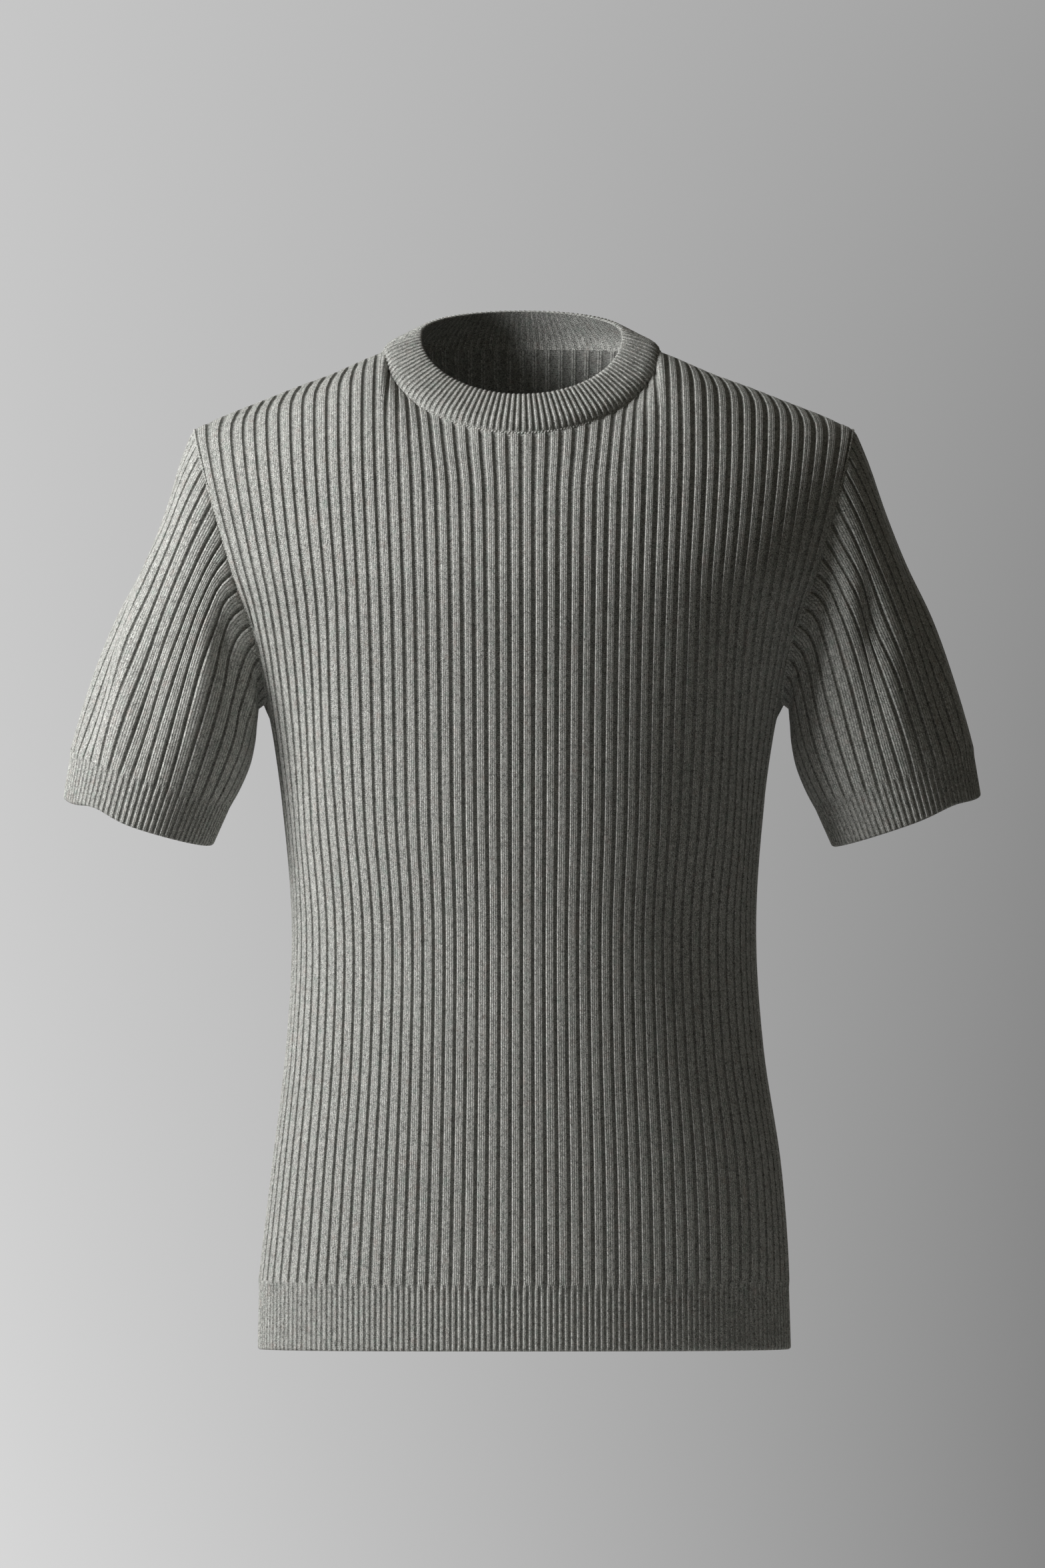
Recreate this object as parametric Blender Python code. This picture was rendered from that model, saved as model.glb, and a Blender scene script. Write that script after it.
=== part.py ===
"""Short sleeved rib-knit t-shirt with a crew neck, held in the form it has when it is worn.

Lengths are in millimetres here and become metres when a mesh is made. The origin lies between the two
neck points, where collar and shoulder seams meet. +X is the picture's right, -Y the front, +Z up.
Every piece is a thin wall: a plain inside face and an outside face that its ribs raise.
"""
import math

import bpy
import numpy as np

for thing in list(bpy.data.objects):
    bpy.data.objects.remove(thing, do_unlink=True)

MM = 0.001

# ribs
PANEL_RIBS = 54        # wide ribs across one body panel, side seam to side seam
NECK_COLUMNS = 23      # half ribs from the centre line to the neck point
SLEEVE_RIBS = 42       # wide ribs round one sleeve
COLLAR_RIBS = 124      # fine ribs round the collar
PLAIN_STEP = 4         # half ribs between two points of a plain inside face

# wall thickness, measured out from the inside face
GROOVE, CREST = 1.2, 2.8
BAND_GROOVE, BAND_CREST = 1.2, 2.3
COLLAR_GROOVE, COLLAR_CREST = 1.5, 2.8
SEAM = 1.9
GAP = 0.3              # clear space between two sewn pieces

# body below the armholes: level, half width at the picture's left and right, depth to front and back,
# and the rib pitch at the centre line over the row's mean pitch
BODY = (
    # level   left   right  front   back  pitch
    (-626.0, 175.0, 178.0, 88.0, 97.0, 1.0),
    (-550.0, 166.0, 172.5, 90.5, 97.0, 1.0),
    (-470.0, 156.5, 160.5, 95.0, 90.0, 1.0),
    (-390.0, 152.5, 155.5, 98.0, 86.0, 1.0),
    (-310.0, 158.5, 160.5, 107.0, 94.0, 0.99),
    (-252.0, 166.5, 168.0, 112.5, 105.0, 0.95),
)
HEM_EDGE = (-673.0, 176.0, 179.5, 87.0, 96.0)
HEM_RISE = 2.5         # how much higher the hem's edge is at the centre line than at the side seams

# body between the armholes: turn round the armhole from the underarm, half width there at the picture's
# left and right, level and depths at the centre line, the sweep of the row's curve, how far the cloth
# beside the seam lies inside it, and the rib pitch at the centre line over the row's mean pitch
ARMHOLE = (
    # turn   left   right  centre  front   back  sweep  tuck  pitch
    (0.0, 173.6, 176.4, -236.0, 114.0, 108.0, 90.0, 3.2, 0.907),
    (15.0, 172.8, 175.6, -226.0, 115.5, 109.5, 87.0, 3.2, 0.953),
    (34.0, 173.6, 176.6, -209.0, 117.5, 111.5, 82.0, 2.6, 1.0),
    (57.0, 178.5, 181.5, -185.0, 119.0, 113.5, 74.0, 1.8, 1.03),
    (80.0, 190.5, 193.5, -156.0, 117.5, 114.0, 67.0, 0.8, 1.01),
    (105.0, 202.0, 205.0, -118.0, 106.0, 111.0, 62.0, 0.0, 1.0),
)
ARMHOLE_MIDDLE, ARMHOLE_HALF = -145.0, 91.0
ARMHOLE_FRONT, ARMHOLE_BACK = 46.0, 50.0
# the two rows between the last armhole row and the top edge: how far up, and how far the corners at
# the neck points are rounded off in them
YOKE = ((0.36, 0.34), (0.70, 0.17))

# shoulder seam, from the neck point outwards
SHOULDER = (
    # out     level
    (92.5, -1.5),
    (104.0, -6.0),
    (128.0, -16.8),
    (153.0, -25.8),
    (175.0, -34.6),
    (200.0, -44.2),
    (221.0, -54.0),
)
NECK_HALF, NECK_FRONT, NECK_BACK = 92.5, 76.0, 70.0
NECK_FRONT_DROP, NECK_BACK_RISE = 56.4, 5.5
NECK_PITCH = 1.106     # rib pitch at the centre line over the mean pitch across the neckline

# collar's free edge
EDGE_HALF, EDGE_FRONT, EDGE_BACK = 67.5, 61.0, 57.0
EDGE_LEVEL, EDGE_FRONT_DROP, EDGE_BACK_RISE = 10.0, 41.3, 19.5
COLLAR_ROWS = (0.0, 0.15, 0.55, 1.0)
COLLAR_ROLL = (0.0, 2.6, 2.4, 0.0)

# sleeve: rings at the cuff seam and at the mouth
CUFF_SEAM = (250.0, -285.5, 55.0, 53.0)    # out, level, half width, half depth
CUFF_EDGE = (259.5, -317.0, 50.8, 50.5)
CUFF_TILT = {-1: math.radians(17.6), 1: math.radians(18.9)}
CUFF_PITCH = {-1: 4.5, 1: 2.4}    # how much lower the mouth hangs in front than on the sleeve's line
CUFF_WAVE = {-1: (125.0, 18.0, 4.2), 1: (128.0, 20.0, 2.4)}    # turn, reach and lift of the mouth's wave
SLEEVE_ROWS = (0.0, 0.10, 0.24, 0.42, 0.60, 0.80, 1.0)
# swell of the sleeve's wall out of its straight line, by the turn from the underarm through the front
SWELL = (
    # turn   0.10  0.24  0.42  0.60  0.80
    (0.0, -5.6, -3.6, 0.4, 2.4, 2.0),
    (45.0, -2.6, -0.4, 3.0, 4.2, 3.0),
    (90.0, 2.5, 5.0, 6.5, 6.5, 4.0),
    (135.0, 3.0, 5.0, 6.5, 6.0, 4.0),
    (180.0, 1.2, 2.4, 4.0, 5.0, 3.6),
    (225.0, 3.0, 5.5, 7.0, 6.5, 4.0),
    (270.0, 3.0, 6.0, 7.5, 7.0, 4.0),
    (315.0, -2.4, -0.2, 3.4, 4.5, 3.0),
)

# soft folds of the sleeves: turn round the sleeve, place along it, reach both ways, lean and height
SLEEVE_FOLDS = {
    -1: (
        # turn  along  reach  reach  lean  height
        (180.0, 0.34, 38.0, 0.24, 0.0, -6.4),
        (141.0, 0.60, 11.0, 0.34, -23.0, 3.4),
        (151.0, 0.74, 10.0, 0.24, -8.0, -3.2),
        (108.0, 0.72, 9.0, 0.24, -11.0, -2.4),
        (70.0, 0.28, 11.0, 0.16, -23.0, -4.4),
        (46.0, 0.16, 11.0, 0.10, -10.0, 3.6),
        (80.0, 0.50, 9.0, 0.20, -6.0, 2.4),
        (212.0, 0.60, 16.0, 0.34, -6.0, -3.2),
        (240.0, 0.52, 15.0, 0.34, -8.0, 3.0),
        (272.0, 0.46, 15.0, 0.26, 12.0, -3.4),
        (302.0, 0.66, 15.0, 0.30, 14.0, 3.0),
    ),
    1: (
        (180.0, 0.36, 36.0, 0.18, 0.0, -3.6),
        (102.0, 0.27, 10.0, 0.14, -11.0, 4.0),
        (108.0, 0.44, 9.0, 0.14, -10.0, -3.4),
        (105.0, 0.74, 9.0, 0.20, -4.0, 2.8),
        (146.0, 0.68, 10.0, 0.24, -11.0, -3.4),
        (152.0, 0.88, 9.0, 0.14, -6.0, 2.0),
        (62.0, 0.28, 12.0, 0.13, -12.0, -3.4),
        (216.0, 0.56, 16.0, 0.34, -6.0, -3.0),
        (246.0, 0.60, 15.0, 0.32, -8.0, 3.2),
        (280.0, 0.42, 15.0, 0.24, 14.0, -3.2),
        (308.0, 0.64, 14.0, 0.28, 10.0, 2.8),
    ),
}
# how the sleeve's ribs are drawn round towards the top a little beyond the armhole, in degrees
DRIFT, DRIFT_TURN, DRIFT_LOW, DRIFT_HIGH, DRIFT_ALONG = 9.0, 77.0, 39.0, 27.0, 0.25

# soft folds of the body: -1 front or 1 back, place across, level, reach both ways, lean and height
BODY_FOLDS = (
    # side across level  reach  reach  lean  height
    (-1, -0.78, -252.0, 0.10, 52.0, 0.16, -3.4),
    (-1, -0.62, -236.0, 0.09, 60.0, 0.22, 2.0),
    (-1, 0.78, -250.0, 0.10, 56.0, -0.16, -3.4),
    (-1, 0.60, -232.0, 0.09, 62.0, -0.22, 2.0),
    (-1, -0.52, -430.0, 0.16, 70.0, 0.10, -2.0),
    (-1, 0.60, -408.0, 0.16, 74.0, -0.10, -2.4),
    (-1, 0.74, -560.0, 0.12, 60.0, 0.04, 2.0),
    (-1, 0.00, -300.0, 0.22, 90.0, 0.00, -1.6),
    (1, -0.74, -246.0, 0.10, 56.0, 0.18, -3.4),
    (1, 0.76, -250.0, 0.10, 54.0, -0.18, -3.4),
    (1, 0.00, -392.0, 0.30, 62.0, 0.00, -3.0),
    (1, -0.40, -352.0, 0.18, 44.0, 0.20, 2.2),
    (1, 0.42, -362.0, 0.18, 44.0, -0.20, 2.2),
    (1, -0.46, -440.0, 0.20, 38.0, -0.16, -2.4),
    (1, 0.44, -448.0, 0.20, 38.0, 0.16, -2.4),
)


def unit(vectors):
    """The vectors at length one."""
    vectors = np.asarray(vectors, float)
    return vectors / np.maximum(np.linalg.norm(vectors, axis=-1, keepdims=True), 1e-9)


def even_row(half, depth, sweep, across, pitch=1.0):
    """Places of one row's points: how far out from the centre line, and how far back from its top."""
    end = math.radians(sweep)
    angle = np.linspace(0.0, end, 241)
    out = half * np.sin(angle) / math.sin(end)
    back = depth * (1.0 - np.cos(angle)) / (1.0 - math.cos(end))
    run = np.concatenate([[0.0], np.cumsum(np.hypot(np.diff(out), np.diff(back)))])
    where = run[-1] * (pitch * np.abs(across) + (1.0 - pitch) * across**4)
    return np.interp(where, run, out), np.interp(where, run, back)


def neck_angle(across):
    """The angle round the neckline at a place across the panel."""
    share = np.clip(np.abs(across) / NECK_U, 0.0, 1.0)
    return np.arcsin(np.clip(NECK_PITCH * share - (NECK_PITCH - 1.0) * share**7, 0.0, 1.0))


NECK_U = NECK_COLUMNS / PANEL_RIBS


def neckline(side, angle):
    """The neckline seam of the front (-1) or the back (1) panel at angles from the centre line."""
    deep = NECK_FRONT if side < 0 else NECK_BACK
    lift = -NECK_FRONT_DROP if side < 0 else NECK_BACK_RISE
    return np.stack(
        [NECK_HALF * np.sin(angle), side * deep * np.cos(angle), SHOULDER[0][1] + lift * np.cos(angle)], -1
    )


def free_edge(side, angle):
    """The collar's free edge at angles from the centre line."""
    turn = np.cos(angle)
    if side < 0:
        deep, level = -EDGE_FRONT * turn, EDGE_LEVEL - EDGE_FRONT_DROP * turn
    else:
        deep, level = EDGE_BACK * turn, EDGE_LEVEL + EDGE_BACK_RISE * np.maximum(turn, 0.0) ** 0.85
    return np.stack([EDGE_HALF * np.sin(angle), deep, level], -1)


def top_edge(side, across):
    """The panel's top edge: the neckline and beyond it the shoulder seam."""
    sign = np.where(across < 0, -1.0, 1.0)
    neck = neckline(side, neck_angle(across))
    neck[:, 0] *= sign
    share = np.clip((np.abs(across) - NECK_U) / (1.0 - NECK_U), 0.0, 1.0)
    out = SHOULDER[0][0] + share * (SHOULDER[-1][0] - SHOULDER[0][0])
    level = np.interp(out, [row[0] for row in SHOULDER], [row[1] for row in SHOULDER])
    seam = np.stack([sign * out + 1.4 * share, 0.0 * out, level], -1)
    return np.where((np.abs(across) <= NECK_U)[:, None], neck, seam)


def soft_top(side, across, reach):
    """The top edge with its corners at the neck points rounded off over a reach to each side."""
    reach = np.minimum(reach, 1.0 - np.abs(across))
    weights = (1.0, 3.0, 6.0, 8.0, 6.0, 3.0, 1.0)
    steps = np.linspace(-1.0, 1.0, len(weights))
    return sum(w * top_edge(side, across + reach * k) for w, k in zip(weights, steps)) / sum(weights)


def body_folds(side, across, level):
    """How far the body's wall swells or sinks."""
    total = np.zeros_like(across)
    for fold_side, place, height, reach_u, reach_z, lean, size in BODY_FOLDS:
        if fold_side == side:
            along = (level - height) / reach_z
            aside = (across - place - lean * along * 0.5) / reach_u
            total += size * np.exp(-(aside**2) - along**2)
    return total * np.clip((1.0 - np.abs(across)) / 0.10, 0.0, 1.0)


def panel_rows(side, across):
    """The inside face of the front (-1) or back (1) panel, row by row from the hem's seam to the top."""
    rows = []
    for level, left, right, front, back, pitch in BODY:
        half = np.where(across < 0, left, right)
        depth = front if side < 0 else back
        lo = even_row(left, depth, 90.0, across, pitch)
        hi = even_row(right, depth, 90.0, across, pitch)
        out, sunk = np.where(across < 0, lo[0], hi[0]), np.where(across < 0, lo[1], hi[1])
        rows.append(np.stack([np.sign(across) * out, side * (depth - sunk), level + 0.0 * half], -1))
    beside = np.clip((1.0 - np.abs(across)) * PANEL_RIBS * 2.0, 0.0, 1.0)
    for turn, left, right, centre, front, back, sweep, tuck, pitch in ARMHOLE:
        depth = front if side < 0 else back
        edge = (ARMHOLE_FRONT if side < 0 else ARMHOLE_BACK) * math.sin(math.radians(turn))
        edge_level = ARMHOLE_MIDDLE - ARMHOLE_HALF * math.cos(math.radians(turn))
        lo = even_row(left, depth - edge, sweep, across, pitch)
        hi = even_row(right, depth - edge, sweep, across, pitch)
        out, sunk = np.where(across < 0, lo[0], hi[0]), np.where(across < 0, lo[1], hi[1])
        level = centre + (edge_level - centre) * across**2
        out = out - tuck * beside * across**4
        rows.append(np.stack([np.sign(across) * out, side * (depth - sunk), level], -1))
    last, before = rows[-1], rows[-2]
    share = np.clip(np.abs(across) / (1.25 * NECK_U), 0.0, 1.0)[:, None]
    share = share**2 * (3.0 - 2.0 * share)
    lean = np.array([0.0, -side * 0.50, 0.87]) if side < 0 else np.array([0.0, -side * 0.36, 0.93])
    over = np.array([0.0, -side * 0.98, 0.15])
    for s, reach in YOKE:
        top = soft_top(side, across, reach)
        chord = np.linalg.norm(top - last, axis=1)[:, None]
        start = unit(last - before) * chord * 1.05
        finish = unit((1.0 - share) * lean + share * over) * chord * 1.05
        rows.append(
            (2 * s**3 - 3 * s**2 + 1) * last
            + (s**3 - 2 * s**2 + s) * start
            + (3 * s**2 - 2 * s**3) * top
            + (s**3 - s**2) * finish
        )
    rows.append(top_edge(side, across))
    grid = np.stack(rows)
    for row in grid[:-1]:
        away = unit(row * np.array([1.0, 1.0, 0.0]))
        row += away * body_folds(side, across, row[:, 2])[:, None]
    return grid


def normals(grid, closed):
    """Unit normals of a grid of points, rows by columns."""
    along = np.gradient(grid, axis=0)
    if closed:
        across = (np.roll(grid, -1, axis=1) - np.roll(grid, 1, axis=1)) / 2.0
    else:
        across = np.gradient(grid, axis=1)
    return unit(np.cross(across, along))


def share_out(lengths, total):
    """Whole numbers in proportion to the lengths, at least one each, that add up to the total."""
    lengths = np.asarray(lengths, float)
    ideal = lengths / lengths.sum() * total
    counts = np.maximum(1, np.floor(ideal).astype(int))
    while counts.sum() < total:
        counts[np.argmax(ideal - counts)] += 1
    while counts.sum() > total:
        counts[np.argmax(np.where(counts > 1, counts - ideal, -1e9))] -= 1
    return counts


def spread(keys, counts):
    """Points on the closed line through the keys, so many in each of its stretches."""
    rows = []
    for number, count in enumerate(counts):
        first, then = keys[number], keys[(number + 1) % len(keys)]
        for step in range(count):
            rows.append(first + (then - first) * step / count)
    return np.array(rows)


def inward(points, tangents, seam_normals, inside):
    """Directions in the cloth, square to a seam, that point to its piece."""
    away = unit(np.cross(tangents, seam_normals))
    sign = np.sign(np.sum(away * (inside - points), axis=-1, keepdims=True))
    return away * np.where(sign == 0, 1.0, sign)


def mitre(seam_normals, own_normals):
    """How much longer the wall's thickness is when measured along a seam that two pieces share."""
    lean = np.sum(seam_normals * own_normals, axis=-1, keepdims=True)
    return 1.0 / np.clip(lean, 0.76, 1.0)


class Wall:
    """A closed wall between an outside and an inside face, each a list of rows of points."""

    def __init__(self, name, colour, closed):
        self.name, self.colour, self.closed = name, colour, closed
        self.points, self.faces = [], []

    def row(self, points, places):
        """One row of points with their places along it; returns what strip takes."""
        start = len(self.points)
        self.points.extend(np.asarray(points, float))
        index = list(range(start, start + len(points)))
        places = list(places)
        if self.closed:
            index.append(start)
            places.append(1.0)
        return index, places

    def strip(self, low, high):
        """Triangles between two rows, over the shorter diagonal where their places agree."""
        (a, pa), (b, pb) = low, high
        i = j = 0
        while i < len(a) - 1 or j < len(b) - 1:
            more = i < len(a) - 1 and j < len(b) - 1
            if more and abs(pa[i + 1] - pb[j + 1]) < 1e-9:
                rising = np.linalg.norm(self.points[a[i]] - self.points[b[j + 1]])
                if rising < np.linalg.norm(self.points[a[i + 1]] - self.points[b[j]]):
                    self.faces += [(a[i], a[i + 1], b[j + 1]), (a[i], b[j + 1], b[j])]
                else:
                    self.faces += [(a[i], a[i + 1], b[j]), (a[i + 1], b[j + 1], b[j])]
                i += 1
                j += 1
            elif j == len(b) - 1 or (i < len(a) - 1 and pa[i + 1] <= pb[j + 1]):
                self.faces.append((a[i], a[i + 1], b[j]))
                i += 1
            else:
                self.faces.append((a[i], b[j + 1], b[j]))
                j += 1

    def close(self, outside, inside):
        """Both faces and the edges that join them."""
        for low, high in zip(outside[:-1], outside[1:]):
            self.strip(low, high)
        for low, high in zip(inside[:-1], inside[1:]):
            self.strip(high, low)
        self.strip(inside[0], outside[0])
        self.strip(outside[-1], inside[-1])
        if not self.closed:
            for end in (0, -1):
                out = ([row[0][end] for row in outside], list(range(len(outside))))
                plain = ([row[0][end] for row in inside], list(range(len(inside))))
                if end == 0:
                    self.strip(out, plain)
                else:
                    self.strip(plain, out)

    def make(self):
        """The object in the scene."""
        points = np.array(self.points) * MM
        faces = [f for f in self.faces if len(set(f)) == 3]
        tri = points[np.array(faces)]
        volume = np.sum(np.cross(tri[:, 0], tri[:, 1]) * tri[:, 2]) / 6.0
        if volume < 0:
            faces = [(c, b, a) for a, b, c in faces]
        mesh = bpy.data.meshes.new(self.name)
        mesh.from_pydata(points.tolist(), [], faces)
        mesh.polygons.foreach_set("use_smooth", [True] * len(mesh.polygons))
        mesh.update()
        made = bpy.data.objects.new(self.name, mesh)
        bpy.context.scene.collection.objects.link(made)
        material = bpy.data.materials.new(self.name)
        material.use_nodes = True
        shader = material.node_tree.nodes["Principled BSDF"]
        shader.inputs["Base Color"].default_value = (*self.colour, 1.0)
        shader.inputs["Roughness"].default_value = 0.95
        mesh.materials.append(material)
        return made


def raise_ribs(count, groove, crest):
    """Wall thickness at each half rib: grooves at the even ones."""
    return np.where(np.arange(count) % 2 == 0, groove, crest)[:, None]


def sleeve_ring(side, ring, turn):
    """A flat ring of the sleeve at turns from the underarm through the front, in degrees."""
    out, level, half, depth = ring
    angle = np.radians(turn)
    aside = -half * np.cos(angle)
    ahead = -depth * np.sin(angle)
    return np.stack(
        [
            side * (out + aside * math.cos(CUFF_TILT[side])) + 0.4,
            ahead,
            level + aside * math.sin(CUFF_TILT[side]) + CUFF_PITCH[side] * ahead / depth,
        ],
        -1,
    )


def sleeve_swell(side, turn, along):
    """How far the sleeve's wall stands out of its straight line."""
    table = np.array([row[1:] for row in SWELL + (SWELL[0],)], float)
    places = np.array([0.0, *SLEEVE_ROWS[1:-1], 1.0])
    table = np.hstack([np.zeros((len(table), 1)), table, np.zeros((len(table), 1))])
    turns = np.array([row[0] for row in SWELL] + [360.0])
    column = np.array([np.interp(along, places, row) for row in table])
    # a cosine blend between the table's turns keeps the wall round
    slot = np.clip(np.searchsorted(turns, turn, side="right") - 1, 0, len(turns) - 2)
    share = (turn - turns[slot]) / (turns[slot + 1] - turns[slot])
    share = (1.0 - np.cos(math.pi * share)) / 2.0
    total = column[slot] * (1.0 - share) + column[slot + 1] * share
    for place, middle, reach_turn, reach_along, lean, height in SLEEVE_FOLDS[side]:
        off = (along - middle) / reach_along
        aside = (turn - place - lean * off) / reach_turn
        total = total + height * math.exp(-(off**2)) * np.exp(-(aside**2)) * min(1.0, along / 0.2) * (
            min(1.0, (1.0 - along) / 0.12)
        )
    return total


def sleeve_away(side, turn):
    """Straight out of the sleeve's line at its turns."""
    angle, tilt = np.radians(turn), CUFF_TILT[side]
    flat = [-side * np.cos(angle) * math.cos(tilt), -np.sin(angle), -np.cos(angle) * math.sin(tilt)]
    return np.stack(flat, -1)


def sleeve_drift(turn, along):
    """How far round the ribs are drawn from their straight run, in degrees."""
    below = np.minimum(turn, 360.0 - turn)
    reach = np.where(below < DRIFT_TURN, DRIFT_LOW, DRIFT_HIGH)
    far = DRIFT * np.exp(-(((below - DRIFT_TURN) / reach) ** 2)) * np.minimum(below / 12.0, 1.0)
    run = along / DRIFT_ALONG
    return np.sign(180.0 - turn) * far * run * math.exp(1.0 - run) * min(1.0, (1.0 - along) / 0.25)


def sleeve_rows(side, armhole, turn):
    """The inside face of a sleeve between the armhole's points and the cuff's seam."""
    rows = []
    for along in SLEEVE_ROWS:
        drawn = turn + sleeve_drift(turn, along)
        seam = np.stack([np.interp(drawn, turn, part, period=360.0) for part in armhole.T], -1)
        line = seam + (sleeve_ring(side, CUFF_SEAM, drawn) - seam) * along
        rows.append(line + sleeve_away(side, drawn) * sleeve_swell(side, drawn, along)[:, None])
    return np.stack(rows)


# ---- places across the panels, their inside faces and the normals of those
COLUMNS = 2 * PANEL_RIBS
ACROSS = np.linspace(-1.0, 1.0, COLUMNS + 1)
LOW_ROWS = len(BODY)
PANELS = {side: panel_rows(side, ACROSS) for side in (-1, 1)}
OUT = {-1: normals(PANELS[-1], False), 1: -normals(PANELS[1], False)}
CENTRE = PANEL_RIBS
NECK = slice(CENTRE - NECK_COLUMNS, CENTRE + NECK_COLUMNS + 1)

# side seams below the armholes: one normal for both panels
for end in (0, -1):
    for row in range(LOW_ROWS):
        shared = unit(OUT[-1][row, end] + OUT[1][row, end])
        OUT[-1][row, end] = OUT[1][row, end] = unit(shared * np.array([1.0, 0.0, 1.0]))
# shoulder seams
for column in list(range(0, NECK.start)) + list(range(NECK.stop, COLUMNS + 1)):
    shared = unit(OUT[-1][-1, column] + OUT[1][-1, column])
    OUT[-1][-1, column] = OUT[1][-1, column] = unit(shared * np.array([1.0, 0.0, 1.0]))

# ---- armholes: the panels' edge rows, from the underarm through the front and down the back
SLEEVES = {}
for side in (-1, 1):
    end = 0 if side < 0 else -1
    front_edge = PANELS[-1][LOW_ROWS:, end]
    back_edge = PANELS[1][LOW_ROWS:, end]
    keys = np.vstack([front_edge, back_edge[-2:0:-1]])
    tilt = math.radians(20.0)
    flat = np.stack([side * keys[:, 0] * math.cos(tilt) + keys[:, 2] * math.sin(tilt), keys[:, 1]], -1)
    steps = np.linalg.norm(np.roll(flat, -1, axis=0) - flat, axis=1)
    half = len(front_edge) - 1
    counts = np.concatenate([share_out(steps[:half], SLEEVE_RIBS), share_out(steps[half:], SLEEVE_RIBS)])
    starts = np.concatenate([[0], np.cumsum(counts)[:-1]])
    turn = np.arange(2 * SLEEVE_RIBS) * 180.0 / SLEEVE_RIBS
    grid = sleeve_rows(side, spread(keys, counts), turn)
    out = normals(grid, True)
    middle = grid.mean(axis=1, keepdims=True)
    out *= np.sign(np.sum(out[2:] * (grid - middle)[2:]))
    own = out[0][starts]
    panel = np.vstack([OUT[-1][LOW_ROWS:, end], OUT[1][LOW_ROWS:, end][-2:0:-1]])
    panel[0] = unit(OUT[-1][LOW_ROWS, end] + OUT[1][LOW_ROWS, end])
    shared = unit(panel + own)
    for number in (0, half):
        shared[number] = unit(shared[number] * np.array([1.0, 0.0, 1.0]))
    tangents = np.roll(keys, -1, axis=0) - np.roll(keys, 1, axis=0)
    SLEEVES[side] = {
        "keys": keys, "counts": counts, "starts": starts, "turn": turn, "grid": grid, "out": out,
        "shared": shared, "thick": SEAM * mitre(shared, own), "tangents": tangents, "half": half,
    }
    for number in range(len(keys)):
        panels, row = ((-1, LOW_ROWS + number),), None
        if number > half:
            panels = ((1, LOW_ROWS + 2 * half - number),)
        elif number in (0, half):
            panels = ((-1, LOW_ROWS + number), (1, LOW_ROWS + number))
        for panel_side, row in panels:
            OUT[panel_side][row, end] = shared[number]

# ---- neckline: front from left to right, then back from right to left
front_neck = PANELS[-1][-1, NECK]
back_neck = PANELS[1][-1, NECK]
COLLAR_KEYS = np.vstack([front_neck, back_neck[-2:0:-1]])


def edge_points(place, half):
    """The collar's free edge at places round the neckline, counted in its keys."""
    front = place <= 2 * half
    across = np.where(front, place - half, 3 * half - place) / half * NECK_U
    angle = neck_angle(across)
    points = np.where(front[:, None], free_edge(-1, angle), free_edge(1, angle))
    points[:, 0] *= np.where(across < 0, -1.0, 1.0)
    return points


def collar_rows(seam, place):
    """The collar's inside face from the neckline's points to the free edge."""
    edge = edge_points(place, NECK_COLUMNS)
    middle = np.array([0.0, -3.0, 0.0])
    band = unit(edge - seam)
    around = np.roll(seam, -1, axis=0) - np.roll(seam, 1, axis=0)
    away = unit(np.cross(around, band))
    away *= np.sign(np.sum(away * (seam - middle), axis=1, keepdims=True))
    return np.stack([seam + (edge - seam) * t + away * roll for t, roll in zip(COLLAR_ROWS, COLLAR_ROLL)])


collar_steps = np.linalg.norm(np.roll(COLLAR_KEYS, -1, axis=0) - COLLAR_KEYS, axis=1)
half_keys = 2 * NECK_COLUMNS
collar_counts = np.concatenate(
    [
        share_out(collar_steps[:half_keys], 2 * round(COLLAR_RIBS * 0.53)),
        share_out(collar_steps[half_keys:], 2 * (COLLAR_RIBS - round(COLLAR_RIBS * 0.53))),
    ]
)
collar_starts = np.concatenate([[0], np.cumsum(collar_counts)[:-1]])
collar_seam = spread(COLLAR_KEYS, collar_counts)
collar_place = spread(np.arange(len(COLLAR_KEYS) + 1.0)[:, None], np.append(collar_counts, 1))[:-1, 0]
collar_grid = collar_rows(collar_seam, collar_place)
collar_out = normals(collar_grid, True)
collar_out *= np.sign(np.sum(collar_out[:, :, 2]))
own = collar_out[0][collar_starts]
front_out = unit(
    np.stack([0.46 * np.sin(neck_angle(ACROSS[NECK])) * np.sign(ACROSS[NECK]),
              -0.87 * np.cos(neck_angle(ACROSS[NECK])),
              0.50 * np.cos(neck_angle(ACROSS[NECK])) + 0.89 * np.sin(neck_angle(ACROSS[NECK]))], -1)
)
back_out = unit(
    np.stack([0.46 * np.sin(neck_angle(ACROSS[NECK])) * np.sign(ACROSS[NECK]),
              0.92 * np.cos(neck_angle(ACROSS[NECK])),
              0.40 * np.cos(neck_angle(ACROSS[NECK])) + 0.89 * np.sin(neck_angle(ACROSS[NECK]))], -1)
)
COLLAR_SHARED = np.vstack([front_out, back_out[-2:0:-1]])
rib_at_key = raise_ribs(COLUMNS + 1, GROOVE, CREST)[NECK]
rib_at_key = np.vstack([rib_at_key, rib_at_key[-2:0:-1]])
COLLAR_THICK = rib_at_key * mitre(COLLAR_SHARED, own)
OUT[-1][-1, NECK] = COLLAR_SHARED[: half_keys + 1]
OUT[1][-1, NECK] = np.vstack([COLLAR_SHARED[:1], COLLAR_SHARED[: half_keys - 1 : -1]])
collar_tangents = np.roll(COLLAR_KEYS, -1, axis=0) - np.roll(COLLAR_KEYS, 1, axis=0)


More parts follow.
